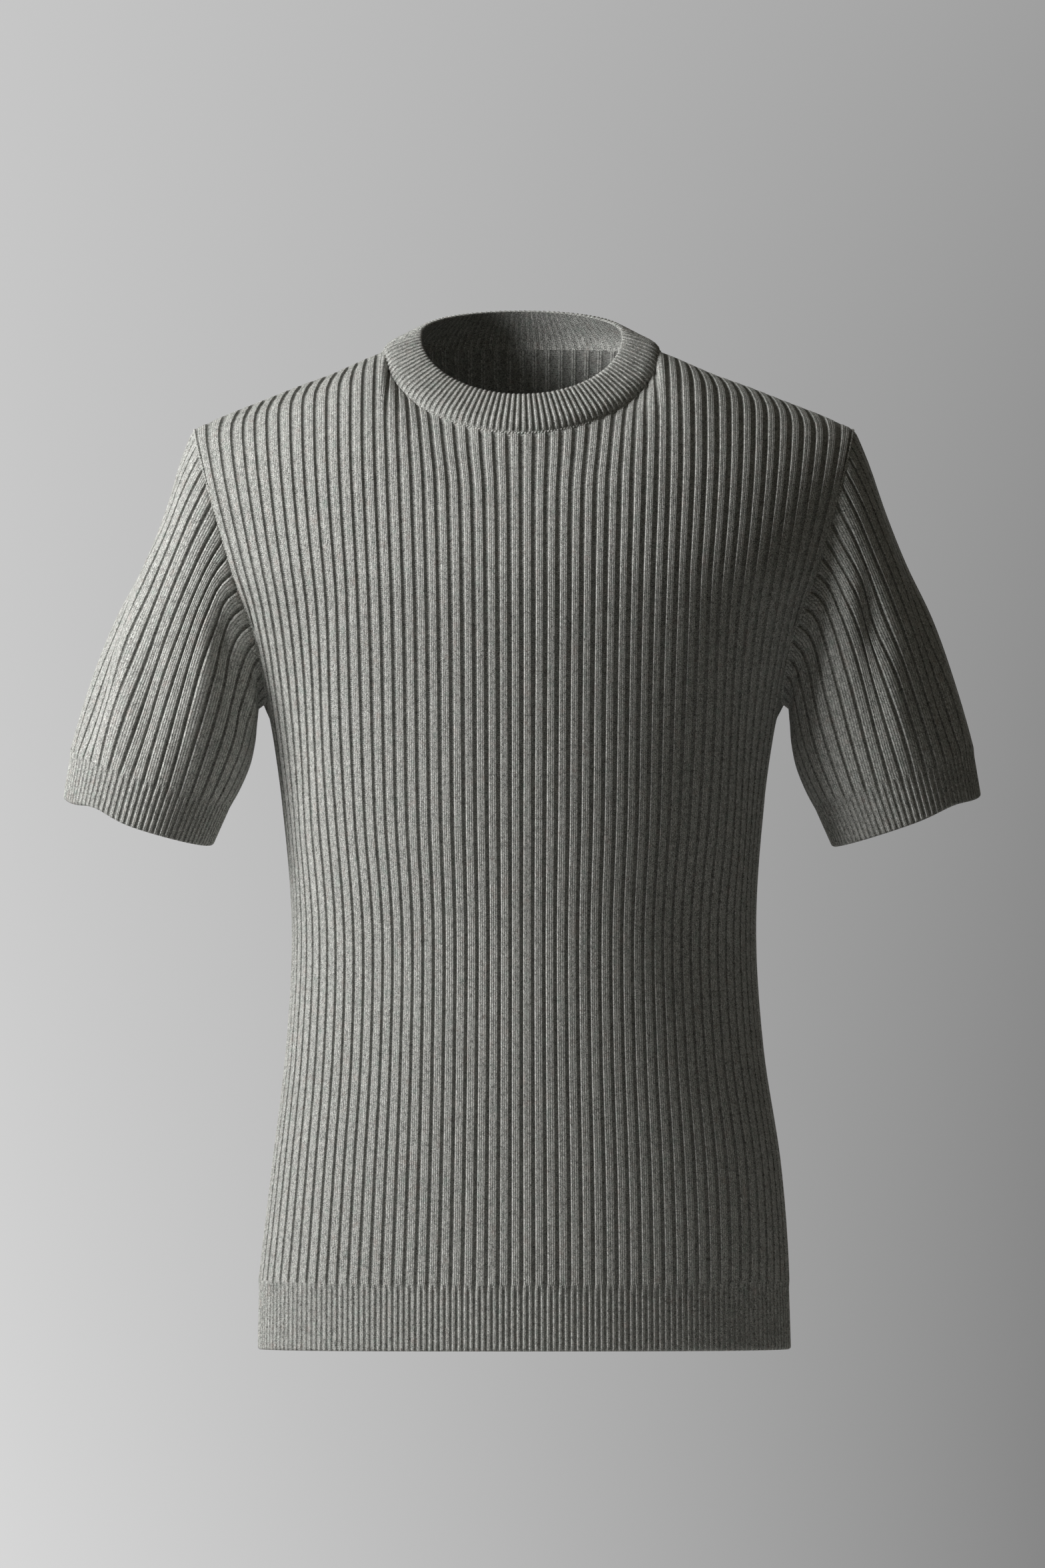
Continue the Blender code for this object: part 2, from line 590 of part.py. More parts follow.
def make_panel(name, side, colour):
    """One body panel."""
    grid, out = PANELS[side].copy(), OUT[side]
    thick = np.repeat(raise_ribs(COLUMNS + 1, GROOVE, CREST)[None], len(grid), axis=0)
    thick[:, 0] = thick[:, -1] = SEAM
    inset = np.zeros_like(grid)
    # side seams and armholes
    for end, sleeve_side in ((0, -1), (-1, 1)):
        beside = grid[:, 1 if end == 0 else -2]
        inset[:LOW_ROWS, end] += np.array([0.0, side, 0.0]) * GAP / 2
        inset[LOW_ROWS, end] += np.array([0.0, side, 0.0]) * GAP / 2
        sleeve = SLEEVES[sleeve_side]
        for row in range(LOW_ROWS, len(grid)):
            number = row - LOW_ROWS
            if side > 0 and 0 < number < sleeve["half"]:
                number = 2 * sleeve["half"] - number
            step = inward(
                sleeve["keys"][number], sleeve["tangents"][number], sleeve["shared"][number], beside[row]
            )
            inset[row, end] += step * GAP / 2
            thick[row, end] = sleeve["thick"][number]
    # top edge: shoulder seams and neckline
    for column in range(COLUMNS + 1):
        if not NECK.start < column < NECK.stop - 1:
            inset[-1, column] += np.array([0.0, side, 0.0]) * GAP / 2
        if NECK.start <= column < NECK.stop:
            number = column - NECK.start
            if side > 0 and 0 < number < half_keys:
                number = 2 * half_keys - number
            step = inward(
                COLLAR_KEYS[number], collar_tangents[number], COLLAR_SHARED[number], grid[-2, column]
            )
            inset[-1, column] += step * GAP / 2
            thick[-1, column] = COLLAR_THICK[number]
    inset[0, :, 2] += GAP / 2
    grid = grid + inset
    outside = grid + out * thick
    outside[0, :, 2] = grid[0, :, 2]
    wall = Wall(name, colour, False)
    plain = sorted(set(range(0, COLUMNS + 1, PLAIN_STEP)))
    top = sorted(set(plain) | set(range(NECK.start, NECK.stop)))
    outer = [wall.row(row, ACROSS) for row in outside]
    inner = []
    for number, row in enumerate(grid):
        pick = top if number == len(grid) - 1 else plain
        inner.append(wall.row(row[pick], ACROSS[pick]))
    wall.close(outer, inner)
    return wall.make()


def make_hem(name, side, colour):
    """The fine rib band at a panel's foot."""
    across = np.linspace(-1.0, 1.0, 2 * COLUMNS + 1)
    levels = (BODY[0][:5], HEM_EDGE)
    rows, outs = [], []
    for number, (level, left, right, front, back) in enumerate(levels):
        depth = front if side < 0 else back
        lo, hi = even_row(left, depth, 90.0, across), even_row(right, depth, 90.0, across)
        out, sunk = np.where(across < 0, lo[0], hi[0]), np.where(across < 0, lo[1], hi[1])
        rise = -GAP / 2 if number == 0 else HEM_RISE * (1.0 - across**2)
        row = np.stack([np.sign(across) * out, side * (depth - sunk), level + rise + 0.0 * out], -1)
        rows.append(row)
    grid = np.stack(rows)
    out = -side * normals(grid[::-1], False)[::-1]
    out[:, 0] = (-1.0, 0.0, 0.0)
    out[:, -1] = (1.0, 0.0, 0.0)
    out[:, :, 2] = 0.0
    out = unit(out)
    thick = np.repeat(raise_ribs(2 * COLUMNS + 1, BAND_GROOVE, BAND_CREST)[None], len(grid), axis=0)
    thick[:, 0] = thick[:, -1] = SEAM
    grid[:, (0, -1), 1] += side * GAP / 2
    outside = grid + out * thick
    wall = Wall(name, colour, False)
    pick = list(range(0, 2 * COLUMNS + 1, 2 * PLAIN_STEP))
    outer = [wall.row(row, across) for row in outside]
    inner = [wall.row(row[pick], across[pick]) for row in grid]
    wall.close(outer, inner)
    return wall.make()


def make_sleeve(name, side, colour):
    """A sleeve from its armhole seam to its cuff."""
    sleeve = SLEEVES[side]
    keys, starts = sleeve["keys"], sleeve["starts"]
    step = inward(keys, sleeve["tangents"], sleeve["shared"], sleeve["grid"][1][starts])
    seam = keys + step * GAP / 2
    grid = sleeve["grid"].copy()
    outside = grid + sleeve["out"] * raise_ribs(2 * SLEEVE_RIBS, GROOVE, CREST)[None]
    grid[0] = spread(seam, sleeve["counts"])
    outside[0] = spread(seam + sleeve["shared"] * sleeve["thick"], sleeve["counts"])
    foot = sleeve_ring(side, CUFF_SEAM, sleeve["turn"])
    square = plane_normal(side)
    for rows in (grid, outside):
        rows[-1] -= square * (np.sum((rows[-1] - foot) * square, axis=1, keepdims=True) - GAP / 2)
    wall = Wall(name, colour, True)
    place = np.arange(2 * SLEEVE_RIBS) / (2.0 * SLEEVE_RIBS)
    outer = [wall.row(row, place) for row in outside]
    inner = []
    for number, row in enumerate(grid):
        pick = starts if number == 0 else np.arange(0, 2 * SLEEVE_RIBS, PLAIN_STEP)
        inner.append(wall.row(row[pick], place[pick]))
    wall.close(outer, inner)
    return wall.make()


def plane_normal(side):
    """The normal of the cuff seam's plane, pointing up the sleeve."""
    ring = sleeve_ring(side, CUFF_SEAM, np.array([0.0, 90.0, 180.0]))
    normal = unit(np.cross(ring[2] - ring[0], ring[1] - ring[0]))
    return normal * np.sign(normal[2])


def make_cuff(name, side, colour):
    """The fine rib band at a sleeve's mouth."""
    turn = np.arange(4 * SLEEVE_RIBS) * 90.0 / SLEEVE_RIBS
    grid = np.stack([sleeve_ring(side, CUFF_SEAM, turn), sleeve_ring(side, CUFF_EDGE, turn)])
    place, reach, lift = CUFF_WAVE[side]
    grid[1, :, 2] += lift * np.exp(-(((turn - place) / reach) ** 2))
    out = normals(grid, True)
    out *= np.sign(np.sum(out * (grid - grid.mean(axis=1, keepdims=True))))
    square = plane_normal(side)
    out = unit(out - square * np.sum(out * square, axis=-1, keepdims=True))
    grid[0] -= square * GAP / 2
    outside = grid + out * raise_ribs(4 * SLEEVE_RIBS, BAND_GROOVE, BAND_CREST)[None]
    wall = Wall(name, colour, True)
    place = turn / 360.0
    pick = np.arange(0, 4 * SLEEVE_RIBS, 2 * PLAIN_STEP)
    outer = [wall.row(row, place) for row in outside]
    inner = [wall.row(row[pick], place[pick]) for row in grid]
    wall.close(outer, inner)
    return wall.make()


def make_collar(name, colour):
    """The fine rib band round the neck."""
    step = inward(COLLAR_KEYS, collar_tangents, COLLAR_SHARED, collar_grid[1][collar_starts])
    seam = COLLAR_KEYS + step * GAP / 2
    grid = collar_grid.copy()
    outside = grid + collar_out * raise_ribs(2 * COLLAR_RIBS, COLLAR_GROOVE, COLLAR_CREST)[None]
    grid[0] = spread(seam, collar_counts)
    outside[0] = spread(seam + COLLAR_SHARED * COLLAR_THICK, collar_counts)
    wall = Wall(name, colour, True)
    place = np.arange(2 * COLLAR_RIBS) / (2.0 * COLLAR_RIBS)
    outer = [wall.row(row, place) for row in outside]
    inner = []
    for number, row in enumerate(grid):
        pick = collar_starts if number == 0 else collar_starts[::2]
        inner.append(wall.row(row[pick], place[pick]))
    wall.close(outer, inner)
    return wall.make()


KNIT = (0.235, 0.24, 0.215)
BAND = (0.225, 0.23, 0.205)

make_panel("front", -1, KNIT)
make_panel("back", 1, KNIT)
make_hem("hem_front", -1, BAND)
make_hem("hem_back", 1, BAND)
make_sleeve("sleeve_left", -1, KNIT)
make_sleeve("sleeve_right", 1, KNIT)
make_cuff("cuff_left", -1, BAND)
make_cuff("cuff_right", 1, BAND)
make_collar("collar", BAND)
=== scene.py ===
"""Looks of a short sleeved rib-knit t-shirt with a crew neck, hollow and held as when it is worn.

Tables and shapes are in millimetres and become metres when a mesh is made. The origin lies between
the two neck points. +X is the picture's right, -Y the front, +Z up. Each piece of the cut is a thin
shell, laid out as a smooth wall; Geometry Nodes then raise its ribs and lay the chains of stitches
that link it.
"""

import math
from functools import cache

import bpy
import numpy as np
from bpy.props import FloatProperty, FloatVectorProperty, PointerProperty
from bpy.types import Operator, Panel, PropertyGroup
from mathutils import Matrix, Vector


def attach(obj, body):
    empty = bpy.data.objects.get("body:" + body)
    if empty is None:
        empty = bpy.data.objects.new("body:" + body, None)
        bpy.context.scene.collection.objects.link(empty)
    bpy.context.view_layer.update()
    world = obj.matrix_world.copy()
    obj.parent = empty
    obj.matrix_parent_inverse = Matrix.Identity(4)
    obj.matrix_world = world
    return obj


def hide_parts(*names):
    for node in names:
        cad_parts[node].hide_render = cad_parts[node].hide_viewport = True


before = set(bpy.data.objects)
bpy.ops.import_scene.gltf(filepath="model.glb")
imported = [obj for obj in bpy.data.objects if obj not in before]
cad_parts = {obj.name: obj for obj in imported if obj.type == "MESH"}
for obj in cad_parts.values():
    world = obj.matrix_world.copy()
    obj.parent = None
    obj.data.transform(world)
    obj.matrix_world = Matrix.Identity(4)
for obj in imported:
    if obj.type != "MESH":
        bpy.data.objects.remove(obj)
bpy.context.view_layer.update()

bl_info = {
    "name": "Rib Knit T-Shirt",
    "version": (1, 0, 0),
    "blender": (4, 5, 0),
    "location": "3D View > Sidebar > Knit",
    "description": "A short sleeved rib-knit t-shirt, piece by piece as it is knitted and linked",
    "category": "Object",
}

MM = 0.001

# ---- the cut, as the solids have it -------------------------------------------------------------
PANEL_RIBS = 54        # wide ribs across one body panel, side seam to side seam
NECK_COLUMNS = 23      # half ribs from the centre line to the neck point
NECK_U = NECK_COLUMNS / PANEL_RIBS
SLEEVE_RIBS = 42       # wide ribs round one sleeve
COLLAR_RIBS = 124      # fine ribs round the collar

# body below the armholes: level, half width at the picture's left and right, depth to front and
# back, and the rib pitch at the centre line over the row's mean pitch
BODY = (
    # level   left   right  front   back  pitch
    (-626.0, 175.0, 178.0, 88.0, 97.0, 1.0),
    (-550.0, 166.0, 172.5, 90.5, 97.0, 1.0),
    (-470.0, 156.5, 160.5, 95.0, 90.0, 1.0),
    (-390.0, 152.5, 155.5, 98.0, 86.0, 1.0),
    (-310.0, 158.5, 160.5, 107.0, 94.0, 0.99),
    (-252.0, 166.5, 168.0, 112.5, 105.0, 0.95),
)
LOW_ROWS = len(BODY)
HEM_EDGE = (-673.0, 176.0, 179.5, 87.0, 96.0)      # the same of the hem's edge
HEM_RISE = 2.5         # how much higher the hem's edge is at the centre line than at the side seams
HEM_MEAN = 0.6         # about the mean of that over the whole width, as a share

# body between the armholes: turn round the armhole from the underarm, half width there at the
# picture's left and right, level and depths at the centre line, the sweep of the row's curve, how
# far the cloth beside the seam lies inside it, and the rib pitch at the centre line over the mean
ARMHOLE = (
    # turn   left   right  centre  front   back  sweep  tuck  pitch
    (0.0, 173.6, 176.4, -236.0, 114.0, 108.0, 90.0, 3.2, 0.907),
    (15.0, 172.8, 175.6, -226.0, 115.5, 109.5, 87.0, 3.2, 0.953),
    (34.0, 173.6, 176.6, -209.0, 117.5, 111.5, 82.0, 2.6, 1.0),
    (57.0, 178.5, 181.5, -185.0, 119.0, 113.5, 74.0, 1.8, 1.03),
    (80.0, 190.5, 193.5, -156.0, 117.5, 114.0, 67.0, 0.8, 1.01),
    (105.0, 202.0, 205.0, -118.0, 106.0, 111.0, 62.0, 0.0, 1.0),
)
ARMHOLE_MIDDLE, ARMHOLE_HALF = -145.0, 91.0        # level of its middle, and half its height
ARMHOLE_FRONT, ARMHOLE_BACK = 46.0, 50.0           # how deep it reaches to front and back
# the two rows between the last armhole row and the top edge: how far up, and how far the corners
# at the neck points are rounded off in them
YOKE = ((0.36, 0.34), (0.70, 0.17))
ROUNDING = (1.0, 3.0, 6.0, 8.0, 6.0, 3.0, 1.0)     # weights of the points that round them off
# how the yoke runs into its top edge, towards the other panel and up: at each panel's centre line
# and at the shoulders
YOKE_RUN = {-1: (0.50, 0.87), 1: (0.36, 0.93)}
SHOULDER_RUN = (0.98, 0.15)
YOKE_SPREAD = 1.25     # where the first has given way to the second, in half necklines
YOKE_PULL = 1.05       # length of the yoke's slopes, in chords

# shoulder seam, from the neck point outwards
SHOULDER = (
    # out     level
    (92.5, -1.5),
    (104.0, -6.0),
    (128.0, -16.8),
    (153.0, -25.8),
    (175.0, -34.6),
    (200.0, -44.2),
    (221.0, -54.0),
)
SHOULDER_SHIFT = 1.4   # how far both shoulders' ends lie to the picture's right
NECK_HALF, NECK_FRONT, NECK_BACK = 92.5, 76.0, 70.0
NECK_FRONT_DROP, NECK_BACK_RISE = 56.4, 5.5
NECK_PITCH = 1.106     # rib pitch at the centre line over the mean pitch across the neckline
# which way the cloth faces along the neckline: out of the panel and up at the centre line, and
# aside and up at the neck points
NECK_FACE = {-1: (0.87, 0.50), 1: (0.92, 0.40)}
NECK_POINT_FACE = (0.46, 0.89)

# collar's free edge
EDGE_HALF, EDGE_FRONT, EDGE_BACK = 67.5, 61.0, 57.0
EDGE_LEVEL, EDGE_FRONT_DROP, EDGE_BACK_RISE = 10.0, 41.3, 19.5
EDGE_BACK_ROUND = 0.85                 # power that makes the rise at the back rounder
COLLAR_ROWS = (0.0, 0.15, 0.55, 1.0)   # shares of the way from its seam to its edge
COLLAR_ROLL = (0.0, 2.6, 2.4, 0.0)     # how far its wall rolls out there
COLLAR_MIDDLE = (0.0, -3.0, 0.0)       # what its rolled wall faces away from

# sleeve: rings at the cuff seam and at the mouth
CUFF_SEAM = (250.0, -285.5, 55.0, 53.0)    # out, level, half width, half depth
CUFF_EDGE = (259.5, -317.0, 50.8, 50.5)
CUFF_TILT = {-1: math.radians(17.6), 1: math.radians(18.9)}
CUFF_PITCH = {-1: 4.5, 1: 2.4}         # how much lower the mouth hangs in front than in the middle
# turn, reach and lift of the mouth's wave
CUFF_WAVE = {-1: (125.0, 18.0, 4.2), 1: (128.0, 20.0, 2.4)}
SLEEVE_SHIFT = 0.4     # how far both sleeves' rings lie to the picture's right
SLEEVE_TILT = math.radians(20.0)       # tilt of the line on which the sleeves' ribs are shared out
SLEEVE_ROWS = (0.0, 0.10, 0.24, 0.42, 0.60, 0.80, 1.0)
# swell of the sleeve's wall out of its straight line, by the turn from the underarm through the
# front
SWELL = (
    # turn   0.10  0.24  0.42  0.60  0.80
    (0.0, -5.6, -3.6, 0.4, 2.4, 2.0),
    (45.0, -2.6, -0.4, 3.0, 4.2, 3.0),
    (90.0, 2.5, 5.0, 6.5, 6.5, 4.0),
    (135.0, 3.0, 5.0, 6.5, 6.0, 4.0),
    (180.0, 1.2, 2.4, 4.0, 5.0, 3.6),
    (225.0, 3.0, 5.5, 7.0, 6.5, 4.0),
    (270.0, 3.0, 6.0, 7.5, 7.0, 4.0),
    (315.0, -2.4, -0.2, 3.4, 4.5, 3.0),
)

# soft folds of the sleeves: turn round the sleeve, place along it, reach both ways, lean and height
SLEEVE_FOLDS = {
    -1: (
        # turn  along  reach  reach  lean  height
        (180.0, 0.34, 38.0, 0.24, 0.0, -6.4),
        (141.0, 0.60, 11.0, 0.34, -23.0, 3.4),
        (151.0, 0.74, 10.0, 0.24, -8.0, -3.2),
        (108.0, 0.72, 9.0, 0.24, -11.0, -2.4),
        (70.0, 0.28, 11.0, 0.16, -23.0, -4.4),
        (46.0, 0.16, 11.0, 0.10, -10.0, 3.6),
        (80.0, 0.50, 9.0, 0.20, -6.0, 2.4),
        (212.0, 0.60, 16.0, 0.34, -6.0, -3.2),
        (240.0, 0.52, 15.0, 0.34, -8.0, 3.0),
        (272.0, 0.46, 15.0, 0.26, 12.0, -3.4),
        (302.0, 0.66, 15.0, 0.30, 14.0, 3.0),
    ),
    1: (
        (180.0, 0.36, 36.0, 0.18, 0.0, -3.6),
        (102.0, 0.27, 10.0, 0.14, -11.0, 4.0),
        (108.0, 0.44, 9.0, 0.14, -10.0, -3.4),
        (105.0, 0.74, 9.0, 0.20, -4.0, 2.8),
        (146.0, 0.68, 10.0, 0.24, -11.0, -3.4),
        (152.0, 0.88, 9.0, 0.14, -6.0, 2.0),
        (62.0, 0.28, 12.0, 0.13, -12.0, -3.4),
        (216.0, 0.56, 16.0, 0.34, -6.0, -3.0),
        (246.0, 0.60, 15.0, 0.32, -8.0, 3.2),
        (280.0, 0.42, 15.0, 0.24, 14.0, -3.2),
        (308.0, 0.64, 14.0, 0.28, 10.0, 2.8),
    ),
}
SLEEVE_FADE = (0.2, 0.12)    # how far along a sleeve its folds fade towards its seams
# how the sleeve's ribs are drawn round towards the top a little beyond the armhole: how far and
# about which turn, its reach below and above, in degrees, and its place along the sleeve
DRIFT, DRIFT_TURN, DRIFT_LOW, DRIFT_HIGH, DRIFT_ALONG = 9.0, 77.0, 39.0, 27.0, 0.25
DRIFT_START, DRIFT_END = 12.0, 0.25    # where it fades: turn from the underarm, way from the cuff
# soft folds of the body: -1 front or 1 back, place across, level, reach both ways, lean and height
BODY_FOLDS = (
    # side across level  reach  reach  lean  height
    (-1, -0.78, -252.0, 0.10, 52.0, 0.16, -3.4),
    (-1, -0.62, -236.0, 0.09, 60.0, 0.22, 2.0),
    (-1, 0.78, -250.0, 0.10, 56.0, -0.16, -3.4),
    (-1, 0.60, -232.0, 0.09, 62.0, -0.22, 2.0),
    (-1, -0.52, -430.0, 0.16, 70.0, 0.10, -2.0),
    (-1, 0.60, -408.0, 0.16, 74.0, -0.10, -2.4),
    (-1, 0.74, -560.0, 0.12, 60.0, 0.04, 2.0),
    (-1, 0.00, -300.0, 0.22, 90.0, 0.00, -1.6),
    (1, -0.74, -246.0, 0.10, 56.0, 0.18, -3.4),
    (1, 0.76, -250.0, 0.10, 54.0, -0.18, -3.4),
    (1, 0.00, -392.0, 0.30, 62.0, 0.00, -3.0),
    (1, -0.40, -352.0, 0.18, 44.0, 0.20, 2.2),
    (1, 0.42, -362.0, 0.18, 44.0, -0.20, 2.2),
    (1, -0.46, -440.0, 0.20, 38.0, -0.16, -2.4),
    (1, 0.44, -448.0, 0.20, 38.0, 0.16, -2.4),
)
FOLD_FADE = 0.10       # how far across a panel its folds fade towards the side seams

# ---- what the looks add -----------------------------------------------------------------------
SEAM = 1.9             # wall thickness along a linked seam
SEAM_GAP = -0.03       # space between two linked pieces; below zero they lap over each other
NECK_WALL = 2.1        # wall thickness along the neckline's seam
MITRE = 0.76           # cosine of a mitre below which a seam's edge is made no longer
ROW_STEP = 6.2         # length of one row of faces down the cloth
BAND_STEP, COLLAR_STEP = 4.5, 3.2      # the same down a band and down the collar
BAND_FIRST = 1.6       # the first row below a band's seam
WIDE_PLACES = 12       # points across one wide rib
FINE_PLACES = 6        # points across one fine rib
WIDE_REVERSE, FINE_REVERSE = (0, 2, 6, 10), (0, 3)     # those of them that the reverse keeps
# the cut of a wide rib from the middle of one groove to the next, and of a fine rib: share of the
# crest
WIDE_PROFILE = (0.04, 0.0, 0.58, 0.96, 1.0, 0.99, 0.95, 0.99, 1.0, 0.96, 0.58, 0.0)
FINE_PROFILE = (0.0, 0.34, 0.90, 1.0, 0.90, 0.34)
FINE_PHASES = (0.0, 0.17, 0.33, 0.5, 0.67, 0.83)   # places of a fine rib's points
FINE_GROOVE = 0.4      # how wide a fine rib's groove opens, as a share of its pitch
REVERSE_RIDGE = 0.5    # how far the wide grooves' stitches stand out on the reverse
FINE_RIDGE = 0.6       # the same of the fine grooves, as a share of it
# how wide the panels' grooves open, as a share of the rib's pitch
OPENING = (
    # level  share
    (-680.0, 0.30),
    (-600.0, 0.29),
    (-500.0, 0.25),
    (-400.0, 0.25),
    (-310.0, 0.30),
    (-220.0, 0.36),
    (-120.0, 0.40),
    (60.0, 0.40),
)
SLEEVE_OPENING = 0.20
RIM = (0.0, 0.45, 1.1, 2.0)            # distances from a free edge where its rounding is cut
RIM_WALL = (0.42, 0.74, 0.93, 1.0)     # share of the wall's thickness there
RIM_LIFT = 0.6         # share of that rounding which the reverse takes
SHADE_IN = 3.5         # how far from a seam the ribs reach their full height
BAND_GROWS = 5.0       # how far below its seam a band's wide ribs have turned fine
EDGE_REACH = 0.10      # how far across a panel its armhole's curve draws the cloth with it
LEAN, LEAN_REACH = 0.85, 16.0          # lean of the ribs at the shoulder, in ribs, and its reach
LEAN_IN, LEAN_OUT = 0.3, 0.2           # shares of the seam over which it grows from either end
# the run of the ribs is evened about the underarm: level, reach up and down, times, how many
# reaches away it ends, and how far from a side seam it is full
CALM_LEVEL, CALM_REACH, CALM_PASSES, CALM_END, CALM_EDGE = -238.0, 55.0, 80, 1.6, 0.05
COLLAR_CORNER = 18     # how many points to both sides of a neck point the collar takes to turn
COURSE = 1.4           # height of one stitch
WALES = {"Wide": 3, "Fine": 2}         # columns of stitches in one rib and its groove
LINK_STEP = 2.2        # from one stitch of a seam's chain to the next
# length, width and height of a chain's stitch, its lean in radians, and how far it sinks in
ARMHOLE_CHAIN, ARMHOLE_LEAN, ARMHOLE_SUNK = (2.9, 1.7, 1.5), 0.30, 0.15
COLLAR_CHAIN, COLLAR_LEAN, COLLAR_SUNK = (2.7, 1.5, 1.5), 0.5, 0.1
UNEVEN = 0.35          # how much its stitches differ in size, as a share
# each sheet's flat width and length in metres, how it is held, and its area where it is shaped
PANEL_SHEET = ((0.46, 0.66), "hung", 0.285)
HEM_SHEET = ((0.43, 0.048), "hung", None)
SLEEVE_SHEET = ((0.42, 0.25), "hung", 0.06)
CUFF_SHEET = ((0.335, 0.034), "hung", None)
COLLAR_SHEET = ((0.53, 0.03), "stretched", None)

# how finely curves are followed when they are shared out
ROW_SAMPLES, HOLE_SAMPLES, NECK_SAMPLES = 241, 1201, 361
# places across a panel at which its smooth wall is worked out
BASE_ACROSS = np.linspace(-1.0, 1.0, 8 * PANEL_RIBS + 1)
NO_DEPTH = np.array([1.0, 0.0, 1.0])   # lays a direction in the plane of the side seams
NO_RISE = np.array([1.0, 1.0, 0.0])    # lays it level


def unit(vectors):
    """The vectors at length one."""
    vectors = np.asarray(vectors, float)
    return vectors / np.maximum(np.linalg.norm(vectors, axis=-1, keepdims=True), 1e-9)


def ease(share):
    """A smooth step from 0 to 1."""
    share = np.clip(share, 0.0, 1.0)
    return share * share * (3.0 - 2.0 * share)


def cubic(s):
    """Weights of a smooth curve's first point and slope and of its last point and slope."""
    return 2 * s**3 - 3 * s**2 + 1, s**3 - 2 * s**2 + s, 3 * s**2 - 2 * s**3, s**3 - s**2


def table_value(table, place):
    """A value between the rows of a table of two columns."""
    return np.interp(place, *zip(*table))


# ---- the smooth inside face of each piece -----------------------------------------------------
def even_row(half, depth, sweep, across, pitch):
    """Places of one row's points: out from the centre line, and back from the row's top."""
    end = math.radians(sweep)
    angle = np.linspace(0.0, end, ROW_SAMPLES)
    out = half * np.sin(angle) / math.sin(end)
    back = depth * (1.0 - np.cos(angle)) / (1.0 - math.cos(end))
    run = np.concatenate([[0.0], np.cumsum(np.hypot(np.diff(out), np.diff(back)))])
    where = run[-1] * (pitch * np.abs(across) + (1.0 - pitch) * across**4)
    return np.interp(where, run, out), np.interp(where, run, back)


def body_row(side, across, left, right, depth, sweep, level, pitch=1.0):
    """One row of a panel's points at a level."""
    low, high = (even_row(half, depth, sweep, across, pitch) for half in (left, right))
    out, sunk = (np.where(across < 0, a, b) for a, b in zip(low, high))
    return out, side * (depth - sunk), level + 0.0 * across


def by_side(side, front, back):
    """The front panel's value or the back panel's."""
    return front if side < 0 else back


def neck_angle(across):
    """The angle round the neckline at a place across the panel."""
    share = np.clip(np.abs(across) / NECK_U, 0.0, 1.0)
    return np.arcsin(np.clip(NECK_PITCH * share - (NECK_PITCH - 1.0) * share**7, 0.0, 1.0))


def neckline(side, angle):
    """The neckline seam of the front (-1) or the back (1) panel at angles from the centre line."""
    deep = by_side(side, NECK_FRONT, NECK_BACK)
    lift = by_side(side, -NECK_FRONT_DROP, NECK_BACK_RISE)
    level = SHOULDER[0][1] + lift * np.cos(angle)
    return np.stack([NECK_HALF * np.sin(angle), side * deep * np.cos(angle), level], -1)


def neckline_normals(side, angle, sign):
    """Which way the cloth faces along the neckline seam."""
    lean, rise = NECK_FACE[side]
    aside, high = NECK_POINT_FACE
    up = rise * np.cos(angle) + high * np.sin(angle)
    return unit(np.stack([aside * np.sin(angle) * sign, side * lean * np.cos(angle), up], -1))


def free_edge(side, angle):
    """The collar's free edge at angles from the centre line."""
    turn = np.cos(angle)
    if side < 0:
        deep, level = -EDGE_FRONT * turn, EDGE_LEVEL - EDGE_FRONT_DROP * turn
    else:
        deep = EDGE_BACK * turn
        level = EDGE_LEVEL + EDGE_BACK_RISE * np.maximum(turn, 0.0) ** EDGE_BACK_ROUND
    return np.stack([EDGE_HALF * np.sin(angle), deep, level], -1)


def top_edge(side, across):
    """The panel's top edge: the neckline and beyond it the shoulder seam."""
    sign = np.where(across < 0, -1.0, 1.0)
    neck = neckline(side, neck_angle(across))
    neck[:, 0] *= sign
    share = np.clip((np.abs(across) - NECK_U) / (1.0 - NECK_U), 0.0, 1.0)
    out = SHOULDER[0][0] + share * (SHOULDER[-1][0] - SHOULDER[0][0])
    level = table_value(SHOULDER, out)
    seam = np.stack([sign * out + SHOULDER_SHIFT * share, 0.0 * out, level], -1)
    return np.where((np.abs(across) <= NECK_U)[:, None], neck, seam)


def soft_top(side, across, reach):
    """The top edge with its corners at the neck points rounded off over a reach to each side."""
    reach = np.minimum(reach, 1.0 - np.abs(across))
    steps = np.linspace(-1.0, 1.0, len(ROUNDING))
    total = sum(w * top_edge(side, across + reach * k) for w, k in zip(ROUNDING, steps))
    return total / sum(ROUNDING)


def body_folds(side, across, level):
    """How far the body's wall swells or sinks."""
    total = np.zeros_like(across)
    for fold_side, place, height, reach_u, reach_z, lean, size in BODY_FOLDS:
        if fold_side == side:
            along = (level - height) / reach_z
            aside = (across - place - lean * along * 0.5) / reach_u
            total = total + size * np.exp(-(aside**2) - along**2)
    return total * np.clip((1.0 - np.abs(across)) / FOLD_FADE, 0.0, 1.0)


